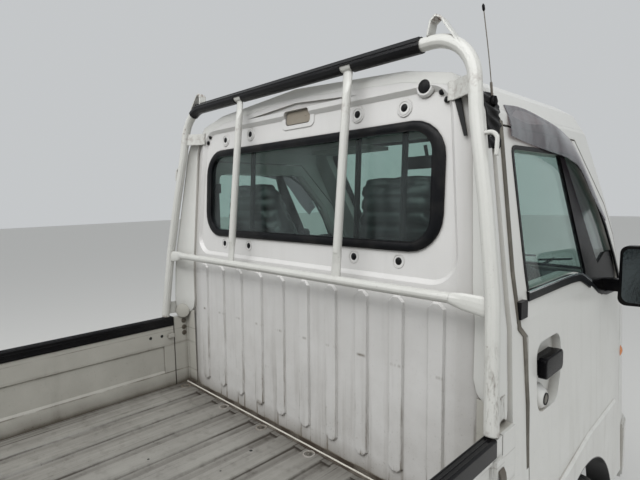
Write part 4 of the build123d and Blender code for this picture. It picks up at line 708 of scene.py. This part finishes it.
# Rear corners: how far they stand behind the cab back at a height, and their section in shares of that
CORNER_Z = (0.953, 0.965, 0.985, 1.02, 1.24, 1.34, 1.49, 1.61, 1.67, 1.70, 1.712)
CORNER_DEPTH = (0.006, 0.026, 0.040, 0.045, 0.040, 0.035, 0.028, 0.022, 0.019, 0.013, 0.003)
CORNER_SECTION = [(-1.75, -0.05), (-1.45, 0.02), (-1.10, 0.10), (-0.75, 0.26), (-0.45, 0.52), (-0.24, 0.82),
                  (-0.12, 1.00), (0.04, 1.00), (0.04, 0.80), (0.04, -0.50), (-1.75, -0.40)]
CORNER_DISC, DISC_AXIS = (0.6895, -0.2595, 0.970), (-0.74, 0.67, 0)
DISC_ROWS = [(-0.010, 0.029), (0.001, 0.029), (0.002, 0.027)]
FLANGE_LOW, FLANGE_HIGH = (0.640, -0.289, FLOOR_Z + 0.002), (0.7065, -0.286, 0.975)
FLANGE_BEAD = [(0.7045, -0.287, FLOOR_Z + 0.004), (0.7045, -0.287, 0.950)]


def on_back(x, z, depth=0.0):
    """Point of the upper cab back at a width and height, a little depth into it."""
    return np.array((x, panel_y(z, depth), z))


def gasket_shape():
    """Moulded lip round the window: a crowned section between an inner and an outer rounded rectangle."""
    inner, outer = rounded(0.504, 0.141, 0.066), rounded(0.538, 0.166, 0.096)
    rings = []
    for share, rise in GASKET_ROWS:
        x, up = (inner * (1 - share) + outer * share).T
        rings.append(points_of(x, panel_y(WINDOW_Z + up, PAN_DEPTH - rise), WINDOW_Z + up))
    return skinned(rings, True)


def back_y(level):
    """Rear face of the whole cab back at a height: the lower plane, then the upper one from 1.2 m."""
    return np.where(level < 1.2, low_panel_y(level), panel_y(level))


def corner_shape():
    """Rolled rear corner of the cab: point = (side + across * depth, back + rear * depth) at each height."""
    level = np.linspace(CORNER_Z[0], CORNER_Z[-1], 80)[:, None]
    depth = np.interp(level, CORNER_Z, CORNER_DEPTH)
    across, rear = soften(CORNER_SECTION, 2).T
    return skinned(points_of(side_x(level) + depth * across, back_y(level) + depth * rear, level))


def film_shape():
    """Torn glossy film on the quarter panel: proud = 3 mm + 3 mm * sine folds, and a ragged front edge."""
    level, share = np.meshgrid(np.linspace(FILM_LOW_Z, FILM_HIGH_Z, 40), np.linspace(0, 1, 16), indexing="ij")
    ragged = 0.036 + 0.19 * (level - FILM_LOW_Z) + 0.006 * np.sin(level * 150) + 0.003 * np.sin(level * 390)
    along = panel_y(level) + 0.016 - share * (ragged + 0.017)
    folds = 0.003 + 0.003 * np.sin(level * 230 + share * 5) * np.sin(share * pi)
    face = points_of(-side_x(level) - folds, along, level)
    return skinned(np.concatenate((face, face[:, ::-1] + (0.0025, 0, 0)), axis=1))


def make_cab_back():
    """Everything fixed on the rear of the cab."""
    plug_places = [on_back(sign * x, z, depth) for x, z, depth in PANEL_PLUGS for sign in (1, -1)]
    plugs = [dome(place, PANEL_NORMAL, 0.0105, 0.003) for place in plug_places]
    plugs += [dome(on_back(sign * x, z, 0.007), PANEL_NORMAL, 0.008, 0.003)
              for x, z in CLAMP_BOLTS for sign in (1, -1)]
    plugs.append(dome(on_back(*GROMMET), PANEL_NORMAL, 0.017, 0.002))
    piece("panel_plugs", RUBBER, plugs)
    cups = [revolve(PLUG_RIM, 24, place, PANEL_NORMAL, True) for place in plug_places]
    cups.append(revolve(GROMMET_RIM, 32, on_back(*GROMMET), PANEL_NORMAL, True))
    piece("panel_dimple_rims", PANEL_PAINT, cups)
    x, up = rounded(0.056, 0.020, 0.011).T
    cover = points_of(x, panel_y(VENT_Z + up, VENT_SUNK), VENT_Z + up)
    piece("vent_cover", VENT,
          [prism(cover, (0, 0.004, 0)), dome(on_back(-0.036, 1.704, 0.012), PANEL_NORMAL, 0.004, 0.002)])
    piece("window_gasket", RUBBER, [gasket_shape()], smooth=60)
    reach = np.linspace(-FLOOR_HALF, FLOOR_HALF, 120)
    wave = 0.0007 * np.sin(reach * 61) + 0.0005 * np.sin(reach * 143)
    seam = points_of(reach, low_panel_y(FLOOR_Z) + 0.005 + wave, FLOOR_Z + 0.001 + wave)
    piece("floor_seam_sealant", SEALANT, [sweep(seam, circle(0.0028, 8))])
    # Dark strips above and beside the seam bead: painted shade in the corner, with soiling
    above, beside = seam + (0, -0.0025, 0.0085), seam + (0, 0.0085, -0.0005)
    piece("floor_seam_shade_and_grime", SEAM_SHADE_AND_GRIME,
          [sweep(above, flat(0.002, 0.012)), sweep(beside, flat(0.010, 0.0015))])
    # Dark strip in the slit: painted shade
    slit = [on_back(x, z, 0.001) for x, z in SLIT]
    piece("panel_slit", DARK, [prism(slit, (0, 0.003, 0))])
    piece("black_film", PLASTIC, [film_shape()])
    piece("cab_corners", PAINT, both([corner_shape()]), smooth=50)
    fillers = [block(FLANGE_LOW, FLANGE_HIGH), sweep(FLANGE_BEAD, circle(0.004, 8), ACROSS),
               revolve(DISC_ROWS, 32, CORNER_DISC, DISC_AXIS)]
    piece("corner_flanges", GATE_PAINT, both(fillers))
    stains = [dome((-0.662, low_panel_y(z) - 0.0185, z), (-0.24, 1, 0), 0.009, 0.0012) for z in RUST_STAINS_Z]
    piece("bracket_rust", RUSTY, stains)


# Guard frame: beads along the cover, and the aerial beside it

RAIL_Y, RAIL_Z, COVER_RADIUS = -0.2908, 1.800, 0.0188
RIDGE_TURNS = np.radians((20, 62, 104))
AERIAL = np.array([(-0.635, -0.355, 1.655), (-0.630, -0.350, 1.740), (-0.619, -0.338, 1.862)])
AERIAL_TIP = [(-0.009, 0.0015), (-0.006, 0.0032), (0.003, 0.0032), (0.007, 0.001)]
AERIAL_FOOT = [(-0.003, 0.012), (0.006, 0.011), (0.016, 0.005)]


def make_guard():
    """Ridges along the top rail's cover, and the aerial's rod, tip and foot."""
    reach = np.linspace(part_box("guard_cover")[0][0] + 0.002, 0.55, 60)
    ridges = [points_of(reach, RAIL_Y + COVER_RADIUS * cos(turn), RAIL_Z + COVER_RADIUS * sin(turn))
              for turn in RIDGE_TURNS]
    piece("cover_ridges", COVER, [sweep(ridge, circle(0.0022, 6)) for ridge in ridges])
    foot, bend, tip = AERIAL
    aerial = piece("aerial_rod", BOLT,
                   [sweep(soften(AERIAL), circle(0.0012, 8), ACROSS),
                    sweep(AERIAL[:2] * 0.5 + foot * 0.5, circle(0.003, 8), ACROSS)])
    piece("aerial_tip", PLASTIC,
          [revolve(AERIAL_TIP, 12, tip, tip - bend),
           revolve(AERIAL_FOOT, 16, foot - (0, 0, 0.003), (-0.3, 0, 1))])
    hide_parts("aerial")


# Load bed: floor bolts in dimples, drain holes as dark discs of painted shade, gate fittings, rope hooks

FLOOR_BOLT_X = (0.657, 0.363, 0.129, -0.113, -0.363, -0.657)
FLOOR_BOLT_Y = (-0.241, FLOOR_HIGH[1] - 0.02)
FLOOR_DIMPLE = [(-0.001, 0.021), (0.0018, 0.019), (0.0018, 0.0155), (-0.001, 0.0135)]
FLOOR_HOLES = ((0.035, -0.128, 0.0055), (0.227, 0.12, 0.004), (0.011, -0.001, 0.003))
POST_BOLT_Z = (0.922, 0.894, 0.869)
HOOK_Y = np.linspace(-0.05, 1.45, 5)
HOOK_ROUTE = ((0.690, 0.566), (0.712, 0.562), (0.727, 0.570), (0.727, 0.594))
TRIM_RIDGES = ((0.7075, TRIM_TOP_Z), (0.7175, TRIM_TOP_Z), (0.7275, TRIM_TOP_Z), (0.7028, 0.934),
               (0.7028, 0.918))
GATE_HOLES = ((-0.119, 0.876), (-0.168, 0.874))
LEVER_Y = (GATE_LOW[1] + 0.022, GATE_HIGH[1] - 0.022)
LEVER_ROUTE = ((0, 0.885), (0.006, 0.872), (0.006, 0.845))


def make_bed():
    """Small parts of the floor, the posts and the sills."""
    places = [(x, y) for y in FLOOR_BOLT_Y for x in FLOOR_BOLT_X]
    bolts = [shape for x, y in places for shape in bolt((x, y, FLOOR_Z + 0.0005), UP, 0.0065, 1.5)]
    piece("floor_bolts", BOLT, bolts)
    piece("floor_dimple_rims", PANEL_PAINT,
          [revolve(FLOOR_DIMPLE, 24, (x, y, FLOOR_Z), UP, True) for x, y in places])
    # Drain holes as dark discs: painted shade
    piece("floor_holes", DARK,
          [dome((x, y, FLOOR_Z), UP, radius, 0.0006) for x, y, radius in FLOOR_HOLES])
    post_bolts = [shape for z in POST_BOLT_Z for shape in bolt((GATE_INNER_X, -0.270, z), (-1, 0, 0), 0.006)]
    piece("post_bolts", BOLT, both(post_bolts))
    hooks = [sweep(soften([(x, y, z) for x, z in HOOK_ROUTE]), circle(0.0045, 8), (0, 1, 0)) for y in HOOK_Y]
    piece("rope_hooks", CHASSIS, both(hooks))


def make_gates():
    """Ridges of the rubber trims, holes, strikers and latch levers of the drop sides."""
    for side, sign in SIDES.items():
        body = f"{side}_gate_body"
        low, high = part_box(f"{side}_gate_trim")
        reach = np.linspace(low[1] + 0.001, high[1] - 0.001, 40)
        ridges = [sweep(points_of(sign * x, reach, z), circle(0.0017, 6)) for x, z in TRIM_RIDGES]
        piece(f"{side}_trim_ridges", COVER, ridges, body)
        inner, outer = sign * GATE_INNER_X, sign * GATE_HIGH[0]
        # Holes as dark discs: painted shade
        piece(f"{side}_gate_holes", DARK,
              [dome((inner, y, z), (-sign, 0, 0), 0.0065, 0.0005) for y, z in GATE_HOLES], body)
        striker = block((inner, -0.219, 0.862), (inner - sign * 0.012, -0.194, 0.878))
        piece(f"{side}_gate_striker", GATE_PAINT, [striker], body)
        routes = [[(outer + sign * x, y, z) for x, z in LEVER_ROUTE] for y in LEVER_Y]
        levers = [sweep(soften(route, 1), flat(0.022, 0.004), ACROSS) for route in routes]
        piece(f"{side}_gate_levers", BOLT, levers, body)


# Doors: window seal, belt moulding, smoked visor, key lock, handle, mirror glass, inner trim, edge seals with
# painted gap shade

WINDOW_LOOP = [(-0.417, 1.380), (-0.417, 1.540), (-0.421, 1.552), (-0.440, 1.556), (-0.760, 1.556),
               (-0.8955, 1.548), (-1.0855, 1.385), (-1.2195, 1.160), (-1.2075, 1.100), (-1.0075, 1.110),
               (-0.8755, 1.172), (-0.7855, 1.212), (-0.430, 1.210), (-0.417, 1.216), (-0.417, 1.380)]
BELT_LINE = [(-0.412, 1.203), (-0.775, 1.203), (-0.830, 1.186), (-0.880, 1.164)]
VISOR_TOP = [(-0.416, 1.655), (-0.524, 1.664), (-0.670, 1.644), (-0.766, 1.624), (-0.861, 1.596),
             (-0.944, 1.530), (-1.010, 1.451), (-1.055, 1.391)]
VISOR_LOW = [(-0.403, 1.579), (-0.530, 1.566), (-0.665, 1.553), (-0.766, 1.540), (-0.850, 1.520),
             (-0.915, 1.455), (-0.975, 1.395), (-1.035, 1.350)]
MIRROR_Y, MIRROR_X, MIRROR_Z = -1.0395, 0.814, 1.175
KEY_LOCK = (0.715, -0.505, 0.926)
KEY_BOSS = [(-0.020, 0.036), (-0.006, 0.026), (0.0, 0.019)]
KEY_BARREL = [(-0.002, 0.013), (0.001, 0.012), (0.002, 0.009)]
KEY_RING = [(-0.001, 0.016), (0.0022, 0.0155), (0.0022, 0.0125), (-0.001, 0.012)]
HANDLE_MIDDLE, HANDLE_X = (-0.532, 1.012), (0.7235, 0.7275)
INNER_TRIM = ((-0.430, 0.660), (-1.140, 0.660), (-1.140, 1.075), (-0.850, 1.165), (-0.430, 1.195))
ARM_REST = ((0.625, -0.900, 0.960), (0.655, -0.640, 0.995))
DOOR_EDGE = [(-0.395, 0.480), (-0.395, 1.106), (-0.338, 1.151), (-0.368, 1.612)]


def skin(points, proud):
    """(y, z) points laid on the cab's side, standing proud of it: x = half width at that height + proud."""
    y, z = np.asarray(points, float).T
    return points_of(side_x(z) + proud, y, z)


def visor_shape():
    """Curved shield: between its edges x = side + 0.003 + 0.026 * sin(share * pi / 2), 2.5 mm thick."""
    top, low = soften(VISOR_TOP, 2), soften(VISOR_LOW, 2)
    share = np.linspace(0, 1, 9)
    y, z = np.moveaxis(top[:, None] * (1 - share[:, None]) + low[:, None] * share[:, None], -1, 0)
    face = points_of(side_x(top[:, 1:]) + (0.003 + 0.026 * np.sin(share * pi / 2)), y, z)
    return skinned(np.concatenate((face, face[:, ::-1] - (0.0025, 0, 0)), axis=1))


def pillow(loop, middle, start, end):
    """Rounded cap facing sideways: from start to end the outline shrinks by 0.15 * (1 - cos(turn))."""
    turn = np.linspace(0, 1, 6)[:, None] * pi / 2
    shrunk = 1 - 0.15 * (1 - np.cos(turn))
    lift = start + (end - start) * np.sin(turn)
    rings = points_of(lift, middle[0] + loop[:, 0] * shrunk, middle[1] + loop[:, 1] * shrunk)
    return skinned(np.concatenate((rings[:1] - (0.016, 0, 0), rings)))


def make_doors():
    """Trim, visor, key lock, mirror glass and inner lining of both doors."""
    moulding = skin(soften(BELT_LINE), 0.002)
    bright = moulding + (0.003, 0, 0.0105)
    window_path = skin(soften(WINDOW_LOOP, 1)[:-1], -0.001)
    x, up = rounded(0.058, 0.087, 0.022).T
    mirror = points_of(MIRROR_X + x, MIRROR_Y, MIRROR_Z + up)
    lining = [prism([(0.654, y, z) for y, z in INNER_TRIM], (0.010, 0, 0)), block(*ARM_REST)]
    handle = pillow(rounded(0.0632, 0.0265, 0.014), HANDLE_MIDDLE, *HANDLE_X)
    for side, sign in SIDES.items():

        def dress(name, finish, shapes, smooth=30):
            """One piece on this side's door, from shapes worked out for the left one."""
            turned = [(points * (sign, 1, 1), faces) for points, faces in shapes]
            piece(f"{side}_door_{name}", finish, turned, f"{side}_door_body", smooth)

        dress("window_seal", RUBBER, [sweep(window_path, flat(0.010, 0.006), ACROSS, True)])
        dress("belt_moulding", RUBBER, [sweep(moulding, flat(0.023, 0.008), ACROSS)])
        dress("bright_line", CHROME, [sweep(bright, flat(0.004, 0.006), ACROSS)])
        dress("visor", SMOKED, [visor_shape()], 60)
        dress("key_boss", PAINT, [revolve(KEY_BOSS, 32, KEY_LOCK, ACROSS)])
        dress("key_lock", BOLT, [revolve(KEY_BARREL, 24, KEY_LOCK, ACROSS)])
        dress("key_ring", DARK, [revolve(KEY_RING, 24, KEY_LOCK, ACROSS, True)])
        dress("handle_cover", PLASTIC, [handle], 50)
        dress("mirror_glass", MIRROR, [prism(mirror, (0, 0.002, 0))])
        dress("inner_trim", CABIN, lining)
    # Grey strip along the door's rear edge: painted shade of the door gap over its dusty seal
    strip = sweep(skin(soften(DOOR_EDGE, 1), 0.001), flat(0.015, 0.004), ACROSS)
    piece("door_gap_shade_and_seals", GAP, both([strip]))
    beside = side_x(1.18)
    stop = block((beside - 0.004, -0.387, 1.160), (beside + 0.010, -0.350, 1.200))
    piece("door_stops", RUBBER, both([stop]))


# Nose: painted shade behind the grille slots, wipers, plate, side lamps, headlamp trim; tail: lamp lenses and
# plate

NOSE_ARC = 2.4
NOSE_TIP_Y, SLOPE_LOW, SLOPE_HIGH, BELT_Z, CAB_BOTTOM_Z = -1.6889, 0.14, 0.80, 1.085, 0.330
GRILLE_SLOTS_Z, INTAKE_Z = (0.6967, 0.72, 0.7433), 0.485
# Wipers: the x of each pivot and of each blade's far end
WIPERS = ((0.20, -0.28), (-0.30, -0.46))
PIVOT_ROWS = [(-0.01, 0.014), (0.014, 0.012), (0.016, 0.006)]
PLATE_HALF, PLATE_BOLT_X = (0.165, 0.0825), (-0.105, 0.105)
# Front of the left headlamp at its middle height, from its inner to its outer end
LENS_MIDDLE = (0.552, 0.720)
LENS_X = (0.440, 0.480, 0.520, 0.560, 0.660)
LENS_Y = (-1.6059, -1.5997, -1.5826, -1.5524, -1.4711)
# Bright rings of the headlamp's bowl, each a radius and a thickness
LENS_RINGS, RING_X = ((0.054, 0.0035), (0.047, 0.0018), (0.024, 0.0022)), -0.034
SIDE_LAMP = (0.6964, -1.335, 0.838)


def nose_y(x, z):
    """Front of the cab: tip + x ** 2 / (2 * arc) + the slope below and above the belt line."""
    return (NOSE_TIP_Y + x ** 2 / (2 * NOSE_ARC) + SLOPE_LOW * (np.minimum(z, BELT_Z) - CAB_BOTTOM_Z)
            + SLOPE_HIGH * np.maximum(z - BELT_Z, 0))


def on_nose(x, z, proud):
    """Points on the front of the cab, standing proud of it."""
    return points_of(x, nose_y(x, z) - proud, z)


def on_lens(across, up, proud):
    """Points laid on the left headlamp: y = its edge line at that width + slope * rise, less proud."""
    x = LENS_MIDDLE[0] + across
    return points_of(x, np.interp(x, LENS_X, LENS_Y) + SLOPE_LOW * up - proud, LENS_MIDDLE[1] + up)


def make_plate(end, y, middle_z, bolt_z, away):
    """Blank plate with round corners, 2 mm thick towards away, and its two bolts."""
    x, up = rounded(*PLATE_HALF, 0.012).T
    thick = 0.002 * away
    piece(f"{end}_plate", PLATE, [prism(points_of(x, y, middle_z + up), (0, thick, 0))])
    bolts = [shape for x in PLATE_BOLT_X for shape in bolt((x, y + thick, bolt_z), (0, away, 0), 0.006)]
    piece(f"{end}_plate_bolts", BOLT, bolts)


def make_nose():
    """Painted shade behind the grille slots, wipers, blank plate, side lamps and headlamp trim."""
    reach = np.linspace(-0.326, 0.326, 25)
    # Dark strips behind the grille slots: painted shade
    slots = [sweep(on_nose(reach, z, -0.008), flat(0.0145, 0.004), AHEAD) for z in GRILLE_SLOTS_Z]
    piece("grille_slot_shade", DARK, slots)
    share = np.linspace(0, 1, 12)
    wipers = []
    for pivot_x, tip_x in WIPERS:
        arm_x = pivot_x + (tip_x - pivot_x) * share * 0.55
        blade_x = pivot_x + (tip_x - pivot_x) * (0.1 + 0.95 * share)
        wipers += [sweep(on_nose(arm_x, 1.098 + 0.050 * share, 0.016), flat(0.012, 0.006), AHEAD),
                   sweep(on_nose(blade_x, 1.135 + 0.020 * share, 0.010), flat(0.008, 0.012), AHEAD),
                   revolve(PIVOT_ROWS, 16, on_nose(pivot_x, 1.096, 0.0), (0, -1, 0.3))]
    piece("wipers", PLASTIC, wipers)
    front = BUMPER_Y - 0.0005
    make_plate("front", front, 0.378, 0.420, -1)
    piece("side_lamps", AMBER, both([dome(SIDE_LAMP, (1, -0.2, 0), 0.022, 0.008)]))
    edge = rounded(0.105, 0.071, 0.022)
    across, up = even(np.vstack((edge, edge[:1])), 73)[:-1].T
    upright = np.linspace(-0.066, 0.066, 9)
    frames = [sweep(on_lens(across, up, 0.0015), flat(0.009, 0.008), AHEAD, True),
              sweep(on_lens(0.050, upright, 0.001), flat(0.004, 0.005), AHEAD)]
    piece("headlamp_frames", DARK, both(frames))
    rings = []
    for radius, thick in LENS_RINGS:
        across, up = circle(radius, 48).T
        rings.append(sweep(on_lens(across + RING_X, up, 0.001), circle(thick, 6), AHEAD, True))
    piece("headlamp_rings", CHROME, both(rings))
    across, up = rounded(0.019, 0.058, 0.010).T
    ambers = prism(on_lens(across + 0.076, up, -0.002), (0, -0.005, 0))
    piece("indicator_lenses", AMBER, both([ambers]))
    # Dark strip in the bumper intake: painted shade
    intake = points_of(reach, reach ** 2 / (2 * NOSE_ARC) + front, INTAKE_Z)
    piece("bumper_intake", DARK, [sweep(intake, flat(0.018, 0.003), AHEAD)])


def make_tail():
    """Amber and clear parts of the tail lamps and the blank plate."""
    low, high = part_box("tail_lamps")
    outer, back = high[0], high[1]

    def lens(inner_end, outer_end):
        """Slab in the left lamp's back between two distances from its outer end."""
        return block((outer - inner_end, back - 0.004, low[2] + 0.008),
                     (outer - outer_end, back + 0.002, high[2] - 0.008))

    piece("tail_amber_lenses", AMBER, both([lens(0.060, 0.008)]))
    piece("tail_clear_lenses", CLEAR, both([lens(0.182, 0.138)]))
    make_plate("rear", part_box("cross_members")[1][1] + 0.001, 0.430, 0.482, 1)


# Cab inside: seats as cloth over a rounded core, mirror, sun visors, belts, dark bars behind the glass as
# painted reflections of the guard bars, levers

SEAT_X, SEAT_HALF = 0.345, 0.222
CUSHION_ROWS = [(-0.935, 0.640, 0.790, 0.82), (-0.920, 0.632, 0.800, 0.95), (-0.860, 0.630, 0.795, 1.0),
                (-0.700, 0.630, 0.775, 1.0), (-0.590, 0.630, 0.755, 0.98), (-0.575, 0.640, 0.740, 0.9)]
BACK_ROWS = [(0.690, -0.548, -0.488, 0.88), (0.705, -0.556, -0.482, 0.97), (0.900, -0.538, -0.452, 1.0),
             (1.150, -0.506, -0.416, 0.98), (1.300, -0.478, -0.394, 0.92), (1.400, -0.452, -0.378, 0.74),
             (1.490, -0.424, -0.366, 0.60), (1.508, -0.412, -0.372, 0.48)]
# Each part of a seat: its rows, whether it stands upright, and the axis and places of its sewn channels
SEAT_PARTS = {"cushion": (CUSHION_ROWS, False, 1, np.arange(-0.88, -0.60, 0.055)),
              "back": (BACK_ROWS, True, 2, np.arange(0.80, 1.50, 0.040))}
INNER_MIRROR = [(-0.11, -1.085, 1.56), (0.11, -1.085, 1.56), (0.105, -1.085, 1.615), (-0.105, -1.085, 1.615)]
MIRROR_STEM = [(0, -1.09, 1.60), (0, -1.07, 1.66)]
SUN_VISOR = ((0.16, -1.02, 1.648), (0.50, -0.87, 1.664))
BELT_ROUTE = [(0.600, -0.385, 1.480), (0.612, -0.392, 1.300), (0.625, -0.400, 0.700)]
BELT_ANCHOR = ((0.590, -0.412, 1.470), (0.612, -0.362, 1.510))
# Dark bars behind the rear glass, painted reflections of the guard bars: their x, the height of their ends,
# their depth into the cab
BAR_REFLECTIONS_X, BAR_ENDS_Z, BAR_DEPTH = (-0.392, -0.228, 0.286), (1.300, 1.635), 0.050
GEAR_LEVER = [(0.04, -1.06, 0.62), (0.04, -1.04, 0.80), (0.03, -1.00, 0.94)]
GEAR_KNOB = ((0.03, -0.998, 0.945), (0, 0.2, 1))
HAND_BRAKE = [(-0.06, -0.95, 0.66), (-0.06, -0.80, 0.74)]
HOOD = [(-0.52, -1.355, 1.030), (-0.17, -1.355, 1.030), (-0.20, -1.355, 1.090), (-0.49, -1.355, 1.090)]


def padded_core(rows, upright):
    """Rounded rectangles along a seat: rows of (place, low edge, high edge, share of the width)."""
    rings = []
    for place, low, high, share in soften(rows, 1):
        across, other = rounded(SEAT_HALF * share, (high - low) / 2, min(0.030, (high - low) * 0.45), 5).T
        other = (low + high) / 2 + other
        rings.append(points_of(across, other, place) if upright else points_of(across, place, other))
    return skinned(rings)


def read_points(mesh, what):
    """Coordinates or normals of a mesh, one row for each point."""
    values = np.empty(len(mesh.vertices) * 3)
    mesh.vertices.foreach_get(what, values)
    return values.reshape(-1, 3)


def puff(pad, pressure, reach):
    """Remesh a core and let cloth swell under pressure, each point held within reach of its start."""
    bpy.context.view_layer.objects.active = pad
    pad.select_set(True)
    pad.data.remesh_voxel_size = 0.008
    bpy.ops.object.voxel_remesh()
    start = read_points(pad.data, "co")
    cloth = pad.modifiers.new("swell", "CLOTH")
    cloth.settings.use_pressure = True
    cloth.settings.uniform_pressure_force = pressure
    cloth.settings.effector_weights.gravity = 0
    for moment in range(1, 16):
        bpy.context.scene.frame_set(moment)
    solved = pad.evaluated_get(bpy.context.evaluated_depsgraph_get()).data
    moved = read_points(solved, "co") - start
    pad.modifiers.remove(cloth)
    size = np.linalg.norm(moved, axis=1, keepdims=True)
    held = start + moved * np.minimum(1, reach / np.maximum(size, 1e-9))
    pad.data.vertices.foreach_set("co", held.ravel())
    pad.data.update()
    bpy.context.scene.frame_set(1)
    pad.select_set(False)


def channels(pad, axis, places, depth, half_width):
    """Sewn channels: near each place points sink by depth * (1 - (distance / 9 mm) ** 2), in half_width."""
    points, normals = read_points(pad.data, "co"), read_points(pad.data, "normal")
    away = np.min(np.abs(points[:, axis, None] - places), axis=1)
    inside = np.clip((half_width - np.abs(points[:, 0])) / 0.02, 0, 1)
    sunk = depth * np.clip(1 - (away / 0.009) ** 2, 0, 1) * inside
    pad.data.vertices.foreach_set("co", (points - normals * sunk[:, None]).ravel())
    pad.data.update()


def make_seats():
    """Two seats, each a cushion and a back; the right one is a copy moved across."""
    for name, (rows, upright, axis, places) in SEAT_PARTS.items():
        pad = piece(f"left_seat_{name}", SEAT, [padded_core(rows, upright)], smooth=60)
        puff(pad, 4.0, 0.022)
        channels(pad, axis, places, 0.006, 0.15)
        pad.data.shade_smooth()
        twin = bpy.data.objects.new(f"right_seat_{name}", pad.data.copy())
        bpy.context.scene.collection.objects.link(twin)
        for made, sign in ((pad, 1), (twin, -1)):
            made.data.transform(Matrix.Translation((sign * SEAT_X, 0, 0)))
        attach(twin, "chassis")
    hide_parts("seats")


def make_cabin():
    """Mirror, sun visors, belts, dark bars that paint the guard bars' reflection in the rear glass, levers
    and instrument hood.
    """
    piece("inner_mirror", PLASTIC,
          [prism(INNER_MIRROR, (0, 0.018, 0)), sweep(MIRROR_STEM, circle(0.008, 8), ACROSS)])
    piece("sun_visors", LINING, both([block(*SUN_VISOR)]))
    webbing = [sweep(soften(BELT_ROUTE, 1), flat(0.046, 0.002), ACROSS), block(*BELT_ANCHOR)]
    piece("seat_belts", BELT, both(webbing))
    # Painted reflection: dark bars just inside the rear glass where the guard bars are mirrored
    bars = [sweep([(x, panel_y(z, BAR_DEPTH), z) for z in BAR_ENDS_Z], circle(0.009, 10), ACROSS)
            for x in BAR_REFLECTIONS_X]
    piece("painted_bar_reflections", PLASTIC, bars)
    levers = [sweep(soften(GEAR_LEVER), circle(0.007, 8), ACROSS), dome(*GEAR_KNOB, 0.022, 0.03),
              sweep(HAND_BRAKE, flat(0.022, 0.020), ACROSS)]
    piece("levers", PLASTIC, levers)
    piece("instrument_hood", CABIN, [prism(HOOD, (0, -0.100, 0.010))])


# Camera, at the photograph's viewing angle

CAMERA_PLACE = (-1.1243, 0.6861, 1.4465)
HEADING, TILT, ROLL = 0.7939, -0.0933, -0.0200
LENS_MM = 26.02


def place_camera():
    """Camera from its heading about Z, its tilt above the horizon and its roll about the line of sight."""
    forward = Vector((sin(HEADING) * cos(TILT), -cos(HEADING) * cos(TILT), sin(TILT)))
    level = Vector((-cos(HEADING), -sin(HEADING), 0))
    up = level.cross(forward)
    right = level * cos(ROLL) + up * sin(ROLL)
    above = up * cos(ROLL) - level * sin(ROLL)
    data = bpy.data.cameras.new("photo_camera")
    data.lens = LENS_MM
    data.clip_start = 0.02
    camera = bpy.data.objects.new("photo_camera", data)
    bpy.context.scene.collection.objects.link(camera)
    turn = Matrix((right, above, -forward)).transposed().to_4x4()
    camera.matrix_world = Matrix.Translation(CAMERA_PLACE) @ turn
    bpy.context.scene.camera = camera


def lamp(name, size, power, place, target):
    """Large soft lamp aimed at a point."""
    data = bpy.data.lights.new(name, "AREA")
    data.shape = "RECTANGLE"
    data.size, data.size_y = size
    data.energy = power
    light = bpy.data.objects.new(name, data)
    light.location = place
    light.rotation_euler = (Vector(target) - Vector(place)).to_track_quat("-Z", "Y").to_euler()
    bpy.context.scene.collection.objects.link(light)


def stage():
    """Pale floor, even world light and soft lamps overhead."""
    reach = 30.0
    corners = [(-reach, -reach, 0), (reach, -reach, 0), (reach, reach, 0), (-reach, reach, 0)]
    floor_mesh = bpy.data.meshes.new("floor")
    floor_mesh.from_pydata(corners, [], [(0, 1, 2, 3)])
    floor = bpy.data.objects.new("floor", floor_mesh)
    bpy.context.scene.collection.objects.link(floor)
    mat, output = blank("pale_floor")
    surface(mat, output, srgb("#D9D8D5"), 0.9)
    floor.data.materials.append(mat)
    world = bpy.data.worlds.new("studio")
    bpy.context.scene.world = world
    world.use_nodes = True
    world.node_tree.nodes["Background"].inputs["Color"].default_value = srgb("#E9ECEE")
    world.node_tree.nodes["Background"].inputs["Strength"].default_value = 0.68
    lamp("overhead_lamp", (5.0, 3.0), 140, (-0.5, 2.0, 4.5), (0, -0.2, 0.9))
    lamp("strip_lamp", (6.0, 0.12), 22, (-0.5, 1.6, 3.0), (0, -0.3, 1.4))
    lamp("side_lamp", (3.0, 3.0), 24, (-4.5, -2.0, 3.0), (0, -0.6, 1.0))


place_camera()
stage()
for axle in AXLES:
    for side, sign in SIDES.items():
        make_wheel(axle, side, sign)
make_cab_back()
make_guard()
make_bed()
make_gates()
make_doors()
make_nose()
make_tail()
make_seats()
make_cabin()
bpy.context.scene.view_settings.view_transform = "Standard"
